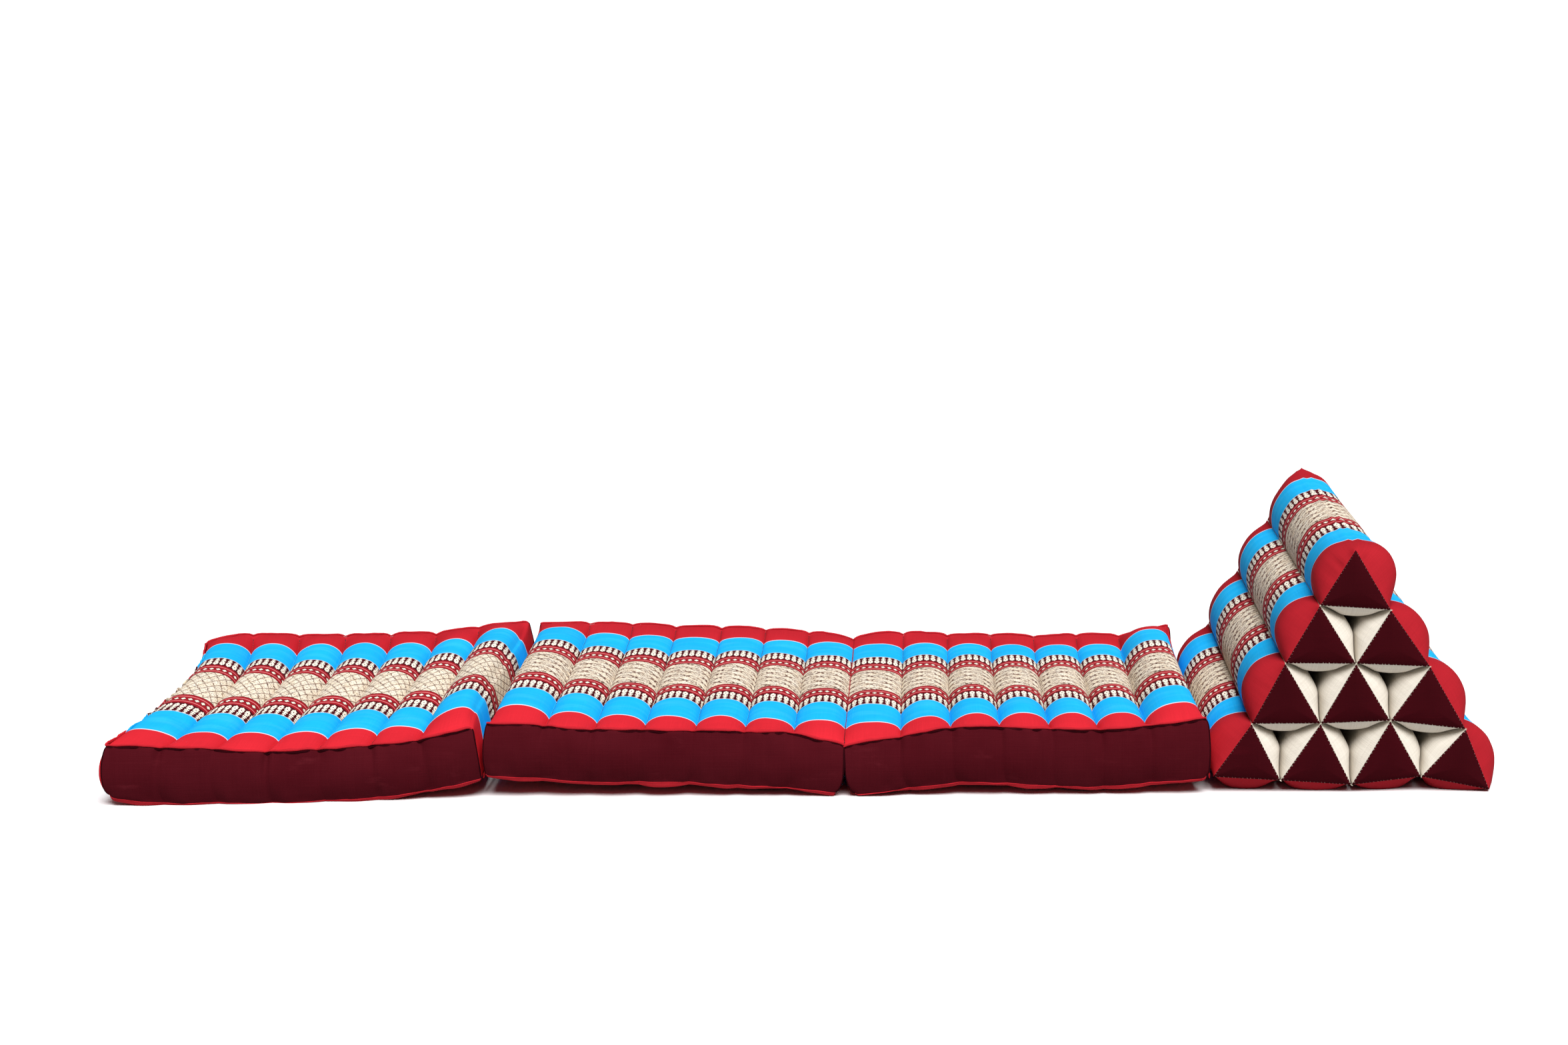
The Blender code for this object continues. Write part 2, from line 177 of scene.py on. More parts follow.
SETTLED_LINES = (
    Settled(1, 0, 1, 0),
    Settled(1, 1, 2, -6),
    Settled(2, 0, 3, 2),
    Settled(2, 1, 4, 1),
    Settled(2, 2, 9, -3),
    Settled(3, 0, 6, 0),
    Settled(3, 1, 5, 0),
    Settled(3, 2, 5, 3),
    Settled(3, 3, 12, -8),
    Settled(4, 0, 2, 7),
    Settled(4, 1, 0, 2),
    Settled(4, 2, 2, -4),
    Settled(4, 3, 2, 6),
    Settled(4, 4, 1, -11),
)

# Single creases pressed into the top of a mat: middle, in mm of the sewing layout, length, turn, height and
# breadth
Crease = namedtuple("Crease", "x y length turn height breadth")

CREASES = (
    Crease(-940, -190, 74, -6, 2.6, 2.4),
    Crease(-948, -210, 66, -9, 2.2, 2.2),
    Crease(-925, -170, 60, -8, 2.4, 2.4),
    Crease(-880, -186, 52, -10, 1.8, 2.2),
    Crease(-872, -204, 46, -12, 1.6, 2.2),
    Crease(-822, -180, 44, -8, 1.2, 2.4),
    Crease(-936, -152, 52, -5, 1.6, 2.4),
    Crease(-505, -180, 46, 8, 0.7, 2.8),
    Crease(-440, -196, 40, -12, 0.7, 2.4),
    Crease(-318, -182, 44, -14, 0.8, 2.4),
    Crease(-196, -190, 40, 10, 0.7, 2.4),
    Crease(58, -186, 44, -10, 0.7, 2.4),
    Crease(236, -192, 40, 12, 0.7, 2.4),
)

# Cloth colours (linear RGB)
RED = (0.67, 0.021, 0.034)
WINE_RED = (0.42, 0.015, 0.024)
DEEP_RED = (0.36, 0.013, 0.022)
MOTIF_GROUND = (0.075, 0.006, 0.010)
BLUE = (0.012, 0.47, 0.93)
PALE_BLUE = (0.06, 0.56, 0.94)
CREAM = (0.95, 0.80, 0.60)
PALE_CREAM = (0.97, 0.90, 0.77)
PINK_LINE = (0.80, 0.24, 0.24)
WHITE_LINE = (0.86, 0.76, 0.86)
INK = (0.060, 0.014, 0.012)
BROWN_INK = (0.22, 0.075, 0.038)
MAROON = (0.058, 0.0026, 0.0060)
PANEL_MAROON = (0.036, 0.0024, 0.0044)
# Maroon painted dark as shade, for the seam folds' upright ends and the fold under the lip
MAROON_PAINTED_AS_SHADE = (0.016, 0.0018, 0.0035)
MAROON_LIGHT = (0.105, 0.009, 0.015)
LINING = (0.82, 0.77, 0.68)
LINING_SHADE = (0.62, 0.56, 0.48)

# Printed stripes: distances from the middle of the cloth, in mm
CREAM_EDGE = 55
LOZENGE_ROW = 73.5
MOTIF_EDGE = 92
MOTIF_ROW = 111
BLUE_EDGE = 130
WHITE_EDGE = 206
RED_EDGE = 208.2
MOTIF_PITCH = 8.6
LOZENGE_PITCH = 8.6
COLUMN_PITCH = 25.0
LENS_PITCH = 22.0
NET_PITCH = 12.5
NET_TALL = 27.0
NET_LINE = 0.85
LENS_SIZE = (11.2, 6.4)
LENS_SLANT = 0.45
HEART_SIZE = (6.4, 1.5)
TICK_PITCHES = (2.3, 7.4)
LOZENGE_SIZE = (3.2, 4.6)
PINK_LINES = (63.0, 84.5)
MOTIF_HEAD = ((0, -7.0), (2.2, 5.4))
MOTIF_STALK = ((0, 5.5), (0.75, 10.5))
MOTIF_FOOT = ((0, 16.6), (2.3, 1.2))
MOTIF_EYE = ((0, -6.6), (0.7, 2.0))


# Forms of the solids


def mix(low, high, share):
    return low + (high - low) * share


def build_up(distance, reach):
    """0 at a seam, and near 1 from about three reaches inside it."""
    return 1 - math.exp(-distance / reach)


def read_stitches(mat, along, column):
    """A column of the mat's stitched lines as a smooth curve, at a count of lines from the left."""
    rows = mat.stitches
    last = len(rows) - 1
    at = min(int(along), last - 1)
    before, low, high, after = (
        getattr(rows[min(max(at + i, 0), last)], column) for i in (-1, 0, 1, 2)
    )
    t = along - at
    return (
        low * (1 + 2 * t) * (1 - t) ** 2
        + high * t * t * (3 - 2 * t)
        + (high - before) / 2 * t * (1 - t) ** 2
        - (after - low) / 2 * t * t * (1 - t)
    )


def channel_arch(along):
    """0 at a stitched line between two channels and 1 on a channel's crest."""
    return 1 - abs(2 * (along % 1) - 1) ** ARCH_FULLNESS


def seam_height(mat, along, side, up):
    """Height of the bottom seam (up 0), the top seam (up 1) or the band between, at the front or the back."""
    low = read_stitches(mat, along, "low")
    if side == "front":
        top = read_stitches(mat, along, "top")
    else:
        top = read_stitches(mat, along, "back_valley") + mat.back_rise
        top += mat.left.back_lift * max(0, 1 - along) ** 2
        top += mat.right.back_lift * max(0, along - CHANNELS + 1) ** 2
        low *= BACK_LOW_SHARE
    return mix(max(low, 0), top, up) * MM


def wall_height(mat, along, across, up):
    return mix(
        seam_height(mat, along, "front", up),
        seam_height(mat, along, "back", up),
        (across + 1) / 2,
    )


def top_height(mat, along, across):
    """Height of the top: its seams and stitched lines, and the channels swollen between them."""
    from_front = (1 + across) * WIDTH / 2
    from_back = (1 - across) * WIDTH / 2
    front_valley = read_stitches(mat, along, "front_valley") * MM
    back_valley = read_stitches(mat, along, "back_valley") * MM
    height = valley = mix(front_valley, back_valley, (across + 1) / 2)
    height += (seam_height(mat, along, "front", 1) - valley) * math.exp(-from_front / FRONT_SEAM_REACH)
    height += (seam_height(mat, along, "back", 1) - valley) * math.exp(-from_back / BACK_SEAM_REACH)
    backwards = (across + 1) / 2
    swell = mix(mat.front_crest, mat.back_crest, backwards)
    if along < 1:
        swell += mix(mat.left.front_swell, mat.left.back_swell, backwards)
    if along > CHANNELS - 1:
        swell += mix(mat.right.front_swell, mat.right.back_swell, backwards)
    grown = build_up(from_front, FRONT_SWELL_REACH) * build_up(from_back, BACK_SWELL_REACH)
    return height + swell * MM * channel_arch(along) * grown


def belly(along, across):
    """How far the underside hangs below its seams."""
    hang = mix(BELLY_SHARE_AT_STITCHES, 1, channel_arch(along))
    inside = (1 - abs(across)) * WIDTH / 2
    from_end = min(along, CHANNELS - along) * WIDTH / CHANNELS
    return BELLY * hang * build_up(inside, BELLY_REACH) * build_up(from_end, BELLY_END_REACH)


def mat_point(mat, along, across, up):
    """The point of a mat at a count of stitched lines from its left, across -1 to 1 and up 0 to 1."""
    ends = (mat.left, mat.right)
    span = mat.stitches[-1].x - mat.stitches[0].x
    share = (read_stitches(mat, along, "x") - mat.stitches[0].x) / span
    fullness = 4 * up * (1 - up)
    corner = abs(2 * share - 1) ** 6 * abs(across) ** 6
    wall = fullness * mix(1, CORNER_BULGE_SHARE, corner)

    out = [(end.front_out if across < 0 else end.back_out) * across**2 for end in ends]
    lean = [end.foot_lean * (1 - up) ** end.lean_power for end in ends]
    bulge = (-mat.left.bulge * wall, mat.right.bulge * wall)
    shift = [sum(parts) for parts in zip(out, lean, bulge)]
    x = (mat.stitches[0].x + span * share + mix(*shift, share)) * MM

    middle = mix(mat.left.y_middle, mat.right.y_middle, share) * MM
    drawn_in = SEAM_DRAWN_IN * (1 - channel_arch(along)) * (1 - fullness)
    y = middle + (WIDTH / 2 + BAND_BULGE * wall - drawn_in) * across

    z = wall_height(mat, along, across, up)
    if up == 1:
        z = top_height(mat, along, across)
    if up == 0:
        z -= belly(along, across)
    return Vector((x, y, max(z, 0)))


def sewn_line(row, line):
    """x and z of a line where rolls are sewn together, as a 2D point."""
    point = Vector((RIDGE_X + (line - row / 2) * ROLL_PITCH, RIDGE_Z - row * ROW_DROP))
    for settled in SETTLED_LINES:
        if (settled.row, settled.line) == (row, line):
            point += Vector((settled.dx, settled.dz)) * MM
    return point


def half_angle_slope(corner, first, second):
    """Tangent of half the angle at a corner between the ways to two other points."""
    return math.tan((first - corner).angle(second - corner) / 2)


def wall_arch(t):
    return 1 - abs(2 * t - 1) ** WALL_FULLNESS


def inner_offset(start, end, tip, t, bulge):
    """How far a wall bulges into the hollow start, end, tip, where its neighbours press back."""
    side = (end - start).length
    from_start = t * side * half_angle_slope(start, end, tip)
    from_end = (1 - t) * side * half_angle_slope(end, start, tip)
    return min(from_start, from_end, bulge * wall_arch(t))


def outer_offset(t, from_front):
    """How far a wall bulges where it faces outwards: most of all a little behind the front."""
    away = (from_front - FRONT_SWELL_DEPTH) / FRONT_SWELL_SPREAD
    return (OUTER_BULGE + FRONT_SWELL * math.exp(-(away**2))) * wall_arch(t)


def onset(distance, depth, power=BULGE_ONSET):
    """0 at the roll's end panel, rising fast to 1 at that depth."""
    return 1 - (1 - min(distance / depth, 1)) ** power


def roll_sides(row, place):
    """A roll's three sides, anticlockwise from its left foot: start, end, and the far corner of any hollow."""
    top = sewn_line(row, place)
    left = sewn_line(row + 1, place)
    right = sewn_line(row + 1, place + 1)
    below = sewn_line(row + 2, place + 1) if row < ROLL_ROWS - 1 else None
    beyond_right = sewn_line(row, place + 1) if place < row else None
    beyond_left = sewn_line(row, place - 1) if place > 0 else None
    return ((left, right, below), (right, top, beyond_right), (top, left, beyond_left))


def share_to_ridge(row, side, t):
    """How near the ridge a place on the top roll's outline is, from 0 at its feet; 0 on other rolls."""
    if row > 0 or side == 0:
        return 0
    return t if side == 1 else 1 - t


def share_to_foot(row, place, side, t):
    """How near the outer foot of the last roll in the base a place on its outline is; 0 on other rolls."""
    if (row, place) != (ROLL_ROWS - 1, ROLL_ROWS - 1) or side == 2:
        return 0
    return t if side == 0 else 1 - t


def roll_point(row, place, side, t, from_front):
    """A point of the roll's outline on one of its sides, and its outward way, so far from its front end."""
    from_end = min(from_front, WIDTH - from_front)
    sides = roll_sides(row, place)
    start, end, hollow = sides[side]
    way = (end - start).normalized()
    outward = Vector((way.y, -way.x))
    if hollow is None:
        bulge = outer_offset(t, from_front) * onset(from_end, OUTER_BULGE_DEPTH)
        if row == 0:
            bulge *= TOP_ROLL_RIGHT_SHARE if side == 1 else TOP_ROLL_LEFT_SHARE
    else:
        full = HOLLOW_TOP_BULGE if side == 0 else HOLLOW_SIDE_BULGE
        bulge = inner_offset(start, end, hollow, t, full)
        bulge *= onset(from_end, HOLLOW_BULGE_DEPTH, HOLLOW_ONSET)
    middle = sum((s[0] for s in sides), Vector((0, 0))) / 3
    point = start.lerp(end, t) + outward * bulge
    free_corner = t == 0 and hollow is None and sides[side - 1][2] is None
    inset = ROLL_INSET * (2 if t == 0 else 1)
    if free_corner:
        inset += FREE_CORNER_CUT * onset(from_end, OUTER_BULGE_DEPTH)
    point += (middle - point).normalized() * inset
    ridge = share_to_ridge(row, side, t)
    spread = FOOT_SPREAD * share_to_foot(row, place, side, t) ** 5 * onset(from_end, OUTER_BULGE_DEPTH)
    lean = RIDGE_LEAN * ridge**1.5 * onset(from_front, RIDGE_LEAN_DEPTH)
    height = point.y - FRONT_TIP_TUCK * ridge * (1 - onset(from_front, OUTER_BULGE_DEPTH))
    height -= RIDGE_DROP * ridge**6 * build_up(from_end, RIDGE_DROP_REACH)
    place_in_space = Vector((point.x + spread + lean, from_front - WIDTH / 2, height))
    return place_in_space, Vector((outward.x, 0, outward.y))


# Cloth over the filling

# Heights of the cloth's relief, in mm
STITCHED_CREASE = 3.2
TOP_PUCKERS = 1.5
BAND_PUCKERS = 4.0
FOOT_PUCKERS = 3.2
STITCH_PULL = 2.6
UNDERSIDE_SWELL = 6.5
LIP_DROOP = 3.5
CORNER_PUFF = 8.5
ROLL_GATHERS = 1.2
APEX_GATHERS = 11.0
REAR_SHOULDER = 5.0
SHOULDER_REACH = 5.5 * MM
CROWN_SHARE = 0.065


def wave(x, length, seed):
    """A smooth uneven wave along one direction, from about -1 to 1."""
    return noise.noise(Vector((x / (length * MM), seed, 0.37)))


def lumps(point, length, seed):
    """Smooth uneven lumps in the cloth, from about -1 to 1."""
    reach = length * MM
    return noise.noise(Vector((point.x / reach, point.y / reach, point.z / reach + seed)))


def beside_seam(distance, reach, start=2):
    """A bump that starts at a seam, is highest a little inside it and dies away from there."""
    return build_up(distance, start * MM) * math.exp(-distance / (reach * MM))


def crease_height(x, y):
    height = 0
    for crease in CREASES:
        dx = x / MM - crease.x
        dy = y / MM - crease.y
        turn = math.radians(crease.turn)
        lengthways = dx * math.cos(turn) + dy * math.sin(turn)
        sideways = dy * math.cos(turn) - dx * math.sin(turn)
        if abs(lengthways) < crease.length / 2 and abs(sideways) < 4 * crease.breadth:
            taper = math.cos(math.pi * lengthways / crease.length) ** 2
            bend = sideways - 2 * (lengthways / crease.length) ** 2 * crease.breadth
            height += crease.height * taper * (1 - bend**2 / crease.breadth**2) * math.exp(
                -(bend**2) / crease.breadth**2
            )
    return height * MM


def mat_skin(mat, along, across, up):
    """A point of a mat's cloth: the solid's form with rounded ends, lumps, puckers and uneven seams."""
    point = mat_point(mat, along, across, up)
    seed = MATS.index(mat) * 17.3
    height = max(wall_height(mat, along, across, 1) - wall_height(mat, along, across, 0), 0.001)
    below_top = (1 - up) * height
    above_foot = up * height
    from_long_seam = (1 - abs(across)) * WIDTH / 2
    end, towards_middle = (mat.left, 1) if along < CHANNELS / 2 else (mat.right, -1)
    from_end = min(along, CHANNELS - along) * (mat.stitches[1].x - mat.stitches[0].x) * MM
    side_sign = -1 if across < 0 else 1
    if along in (0, CHANNELS) and 0 < up < 1 and not end.drawn_over:
        # The end wall's cloth starts from the top's own edge
        foot = wall_height(mat, along, across, 0)
        point.z = foot + (point.z - foot) * (mat_point(mat, along, across, 1).z - foot) / height
    x, y = point.x, point.y

    # Rounded edges where the cloth turns down the ends
    top_round = mix(end.top_round, end.corner_round, abs(across) ** 10)
    for reach, distance, drop in ((top_round, below_top, -1), (end.foot_round, above_foot, 1)):
        nearness = 1 - max(from_end, distance) / (reach * MM + 1e-9)
        if nearness > 0:
            cut = reach * MM * nearness**2 / 4
            point.x += towards_middle * cut
            point.z += drop * cut
    point.x -= towards_middle * end.drawn_over * MM * math.exp(-(from_end + below_top) / (14 * MM))
    shoulder = end.filled_out * MM * math.exp(-(from_end + below_top) / SHOULDER_REACH)
    point.x -= towards_middle * shoulder
    point.z += shoulder * (1 - abs(across) ** 12)
    if end.drawn_over:
        from_corner = from_end + from_long_seam + below_top
        point.z -= LIP_DROOP * MM * math.exp(-from_corner / (7 * MM))

    # Uneven top and bottom seams
    line = min(max(round(along), 1), CHANNELS - 1)
    from_line = abs(along - line) * (mat.stitches[line].x - mat.stitches[line - 1].x) * MM
    notch = math.exp(-((from_line / (5 * MM)) ** 2)) * (1 + 0.6 * wave(line * 31, 9, seed + side_sign))
    near_top_seam = math.exp(-(from_long_seam + below_top) / (9 * MM))
    point.z -= near_top_seam * 2.0 * notch * MM
    point.y -= near_top_seam * side_sign * 1.6 * notch * MM
    point.z += near_top_seam * (1.5 * wave(x, 34, seed + side_sign) + 0.7 * wave(x, 12, seed + 5)) * MM
    point.y += near_top_seam * (1.3 * wave(x, 27, seed + 9 * side_sign)) * MM
    near_foot_seam = math.exp(-(from_long_seam + above_foot) / (9 * MM))
    point.y += near_foot_seam * (1.5 * wave(x, 22, seed + 3 * side_sign)) * MM
    if point.z > 2 * MM:
        point.z += near_foot_seam * (0.9 * wave(x, 18, seed + 4)) * MM

    if up == 0:
        # Underside: it swells out below the foot seam
        swollen = beside_seam(from_long_seam, 9, 1.6) * (0.7 + 0.9 * wave(x, 46, seed + 91 * side_sign))
        point.z -= UNDERSIDE_SWELL * max(swollen, 0) * MM
        point.y += side_sign * 1.2 * swollen * MM
    elif up == 1:
        # Top: lumps, stitched creases with small gathers, puckers inside the seams
        inside = build_up(from_long_seam, 18 * MM) * build_up(from_end, 14 * MM)
        lift = inside * (1.5 * lumps(point, 74, seed) + 0.8 * lumps(point, 27, seed + 3))
        lift -= STITCHED_CREASE * math.exp(-from_line / (2.2 * MM)) * build_up(from_long_seam, 6 * MM)
        gathers = 0.8 * beside_seam(from_line, 8, 1.5) * wave(y, 5.5, seed + line)
        lift += gathers * build_up(from_long_seam, 6 * MM)
        pull = 1 + 1.6 * math.exp(-from_line / (9 * MM))
        lift += TOP_PUCKERS * pull * beside_seam(from_long_seam, 12) * wave(x, 7, seed + 31 * side_sign)
        lift += 1.0 * beside_seam(from_end, 10) * wave(y, 8, seed + 41)
        point.z += lift * MM + crease_height(x, y)
    elif abs(across) == 1:
        # Band: upright puckers inside both seams, and soft hollows between them
        gathers = BAND_PUCKERS * beside_seam(below_top, 17) * wave(x, 9.5, seed + 51 * side_sign)
        gathers += FOOT_PUCKERS * beside_seam(above_foot, 14) * wave(x, 11, seed + 61 * side_sign)
        full = 4 * up * (1 - up)
        gathers += full * (2.2 * lumps(point, 62, seed + 7) + 0.6 * lumps(point, 21, seed + 8))
        pulled = math.exp(-((from_line / (4.5 * MM)) ** 2)) * (0.5 + 1.8 * abs(wave(line * 47, 11, seed)))
        gathers -= STITCH_PULL * pulled * build_up(below_top, 4 * MM) * math.exp(-below_top / (42 * MM))
        point.y += side_sign * gathers * MM * min(1, from_end / (12 * MM))
    elif along in (0, CHANNELS):
        gathers = 1.2 * beside_seam(from_long_seam, 9) * wave(point.z, 9, seed + 71 * side_sign)
        full_height = 4 * up * (1 - up)
        full = full_height * build_up(from_long_seam, 14 * MM)
        gathers += full * 1.3 * lumps(point, 58, seed + 7)
        if end is MATS[0].left:
            gathers += CORNER_PUFF * full_height * beside_seam(from_long_seam, 18, 3.5)
        point.x -= towards_middle * gathers * MM * build_up(below_top, 12 * MM)
    point.z = max(point.z, 0)
    return point


def ladder(steps):
    """The steps and their mirror image, from 0 to 1."""
    return [*steps, 0.5, *(1 - s for s in reversed(steps[1:]))]


def across_steps():
    half = WIDTH / 2 / MM
    inner = []
    step = SEAM_STEPS[-1] + MIDDLE_STEP
    while step < half - MIDDLE_STEP / 2:
        inner.append(step)
        step += MIDDLE_STEP
    near = [s / half - 1 for s in (*SEAM_STEPS, *inner)]
    return near + [0] + [-s for s in reversed(near)]


def along_steps():
    inside = ladder(CHANNEL_STEPS)
    return [channel + t for channel in range(CHANNELS) for t in inside] + [CHANNELS]


def add_sheet(mesh, rows, cloth_layer, slot):
    """Fills a grid of (point, (u, v)) rows with faces."""
    corners = [[(mesh.verts.new(point + CENTRE_SHIFT), uv) for point, uv in row] for row in rows]
    for first, second in zip(corners, corners[1:]):
        for i in range(len(first) - 1):
            loop = (first[i], first[i + 1], second[i + 1], second[i])
            face = mesh.faces.new([corner[0] for corner in loop])
            face.material_index = slot
            for face_corner, (_, uv) in zip(face.loops, loop):
                face_corner[cloth_layer].uv = uv


def finish_piece(name, mesh, materials, merge=True):
    """Joins the patches' touching edges, faces everything outwards and makes the piece."""
    if merge:
        bmesh.ops.remove_doubles(mesh, verts=mesh.verts[:], dist=0.02 * MM)
    bmesh.ops.recalc_face_normals(mesh, faces=mesh.faces[:])
    data = bpy.data.meshes.new(name)
    mesh.to_mesh(data)
    mesh.free()
    data.shade_smooth()
    for material in materials:
        data.materials.append(material)
    piece = bpy.data.objects.new(name, data)
    bpy.context.scene.collection.objects.link(piece)
    return piece


def lengths_along(points):
    """Distances from the first point, along the line through all of them."""
    total = 0
    lengths = [0]
    for first, second in zip(points, points[1:]):
        total += (second - first).length
        lengths.append(total)
    return lengths


def make_mat(mat, finishes):
    """One mat's cloth: a printed length over the ends and the top, two maroon bands and a red underside."""
    mesh = bmesh.new()
    cloth = mesh.loops.layers.uv.new("cloth")
    acrosses = across_steps()
    alongs = along_steps()
    stations = [(0, up) for up in UP_STEPS]
    stations += [(along, 1) for along in alongs[1:-1]]
    stations += [(CHANNELS, up) for up in reversed(UP_STEPS)]

    middle_line = [mat_skin(mat, along, 0, up) for along, up in stations]
    run = lengths_along(middle_line)
    printed = []
    for (along, up), u in zip(stations, run):
        printed.append([(mat_skin(mat, along, a, up), (u, a * WIDTH / 2)) for a in acrosses])
    add_sheet(mesh, printed, cloth, 0)

    for side in (-1, 1):
        band = []
        for along in alongs:
            points = [mat_skin(mat, along, side, up) for up in UP_STEPS]
            band.append([(p, (p.x, p.z)) for p in points])
        add_sheet(mesh, band, cloth, 1)

    underside = []
    for along in alongs:
        points = [mat_skin(mat, along, a, 0) for a in acrosses]
        underside.append([(p, (p.x, p.y)) for p in points])
    add_sheet(mesh, underside, cloth, 2)
    return finish_piece(mat.name + "_cushion", mesh, finishes)


def roll_skin(row, place, side, t, from_front):
    """A point of a roll's cloth: the solid's form with lumps, and puckers round the end panels."""
    point, outward = roll_point(row, place, side, t, from_front)
    from_end = min(from_front, WIDTH - from_front)
    seed = row * 11.9 + place * 4.7 + (0 if from_front < WIDTH / 2 else 2.3)
    outer = roll_sides(row, place)[side][2] is None
    full = 4 * t * (1 - t)
    around = (side + t) * ROLL_PITCH
    lift = 0
    if outer:
        lift += 0.9 * full * build_up(from_end, 20 * MM) * lumps(point, 66, seed)
        near_ridge = share_to_ridge(row, side, t)
        gather = (ROLL_GATHERS + APEX_GATHERS * near_ridge**5) * full**0.5
        lift += gather * beside_seam(from_end, 10 + 6 * near_ridge, 1.6) * wave(around, 6.5, seed)
        if near_ridge and from_front > WIDTH / 2:
            shoulder = math.exp(-(((near_ridge - 0.84) / 0.14) ** 2))
            lift += REAR_SHOULDER * shoulder * build_up(from_end, 4 * MM) * math.exp(-from_end / (45 * MM))
    else:
        lift += 0.5 * full * beside_seam(from_end, 9, 1.6) * wave(around, 9, seed)
    point += outward * lift * MM
    crown = math.exp(-(((1 - share_to_ridge(row, side, t)) / CROWN_SHARE) ** 2))
    point.z = max(point.z + CROWN_FILL * crown * build_up(from_end, RIDGE_DROP_REACH), 0)
    return point


def roll_stations():
    half = WIDTH / 2 / MM
    inner = []
    step = ROLL_END_STEPS[-1] + MIDDLE_STEP
    while step < half - MIDDLE_STEP / 2:
        inner.append(step)
        step += MIDDLE_STEP
    near = [*ROLL_END_STEPS, *inner]
    return [s * MM for s in (*near, half, *(2 * half - s for s in reversed(near)))]


def panel_rows(row, place, at_front):
    """Rings of an end panel from its sewn edge to its middle, domed outwards."""
    from_front = 0 if at_front else WIDTH
    rim = []
    for side in range(3):
        for i in range(ROLL_SIDE_STEPS):
            rim.append(roll_skin(row, place, side, i / ROLL_SIDE_STEPS, from_front))
    middle = sum(rim, Vector()) / len(rim)
    outwards = Vector((0, -1 if at_front else 1, 0))
    rings = []
    for ring in range(PANEL_RINGS + 1):
        share = ring / PANEL_RINGS
        ring_points = []
        for point in rim + rim[:1]:
            inner = point.lerp(middle, share)
            edge = 1 - share
            dome = PANEL_DOME * (1 - edge**2.2) ** 0.8
            dome += 0.8 * MM * lumps(inner, 34, row * 3 + place * 7) * (1 - edge**4)
            ring_points.append((inner + outwards * dome, (inner.x, inner.z)))
        rings.append(ring_points)
    return rings


def make_roll(row, place, finishes):
    """One stuffed roll's cloth: three sides, each printed, cream or red, and two maroon end panels."""
    mesh = bmesh.new()
    cloth = mesh.loops.layers.uv.new("cloth")
    stations = roll_stations()
    sides = roll_sides(row, place)
    for side in range(3):
        if sides[side][2] is not None:
            slot = 2
        elif side == 0:
            slot = 3
        else:
            slot = 0
        rows = []
        for i in range(ROLL_SIDE_STEPS + 1):
            t = i / ROLL_SIDE_STEPS
            next_side, next_t = (side, t) if i < ROLL_SIDE_STEPS else ((side + 1) % 3, 0)
            u = (side + t + 0.31 * (row + place)) * (ROLL_PITCH + 6 * MM)
            points = [roll_skin(row, place, next_side, next_t, s) for s in stations]
            rows.append([(p, (u, s - WIDTH / 2)) for p, s in zip(points, stations)])
        add_sheet(mesh, rows, cloth, slot)
    for at_front in (True, False):
        add_sheet(mesh, panel_rows(row, place, at_front), cloth, 1)
    return finish_piece(f"stuffed_roll_{row + 1}_{place + 1}", mesh, finishes)


# Seam folds and stitching


def add_tube(mesh, cloth_layer, points, outs, section, uv_v, closed=False, slots=(0,)):
    """A fold along a path. section gives (out, up) offsets at each point, outs the outward way there, and
    slots the material slot at each point, or one for all of them."""
    slots = list(slots) * (len(points) if len(slots) == 1 else 1)
    count = len(section(0, 0))
    run = lengths_along(points)
    rings = []
    for i, (point, out) in enumerate(zip(points, outs)):
        last = len(points) - 1
        before = points[(i - 1) % len(points) if closed else max(i - 1, 0)]
        after = points[(i + 1) % len(points) if closed else min(i + 1, last)]
        way = (after - before).normalized()
        across = (out - way * out.dot(way)).normalized()
        upward = way.cross(across).normalized()
        ring = [
            mesh.verts.new(point + across * a + upward * b + CENTRE_SHIFT) for a, b in section(i, run[i])
        ]
        rings.append((ring, run[i]))
    pairs = list(zip(rings, rings[1:]))
    if closed:
        pairs.append((rings[-1], (rings[0][0], run[-1] + 3 * MM)))
    for slot, ((first, u1), (second, u2)) in zip(slots, pairs):
        for k in range(count):
            n = (k + 1) % count
            face = mesh.faces.new((first[k], first[n], second[n], second[k]))
            face.material_index = slot
            uvs = ((u1, uv_v), (u1, uv_v), (u2, uv_v), (u2, uv_v))
            for face_corner, uv in zip(face.loops, uvs):
                face_corner[cloth_layer].uv = uv
    if not closed:
        mesh.faces.new(list(reversed(rings[0][0]))).material_index = slots[0]
        mesh.faces.new(rings[-1][0]).material_index = slots[0]


def oval(out_radius, up_radius, out_shift=0, up_shift=0, corners=8):
    turns = [2 * math.pi * k / corners for k in range(corners)]
    return [
        (out_shift + out_radius * math.cos(turn), up_shift + up_radius * math.sin(turn)) for turn in turns
    ]


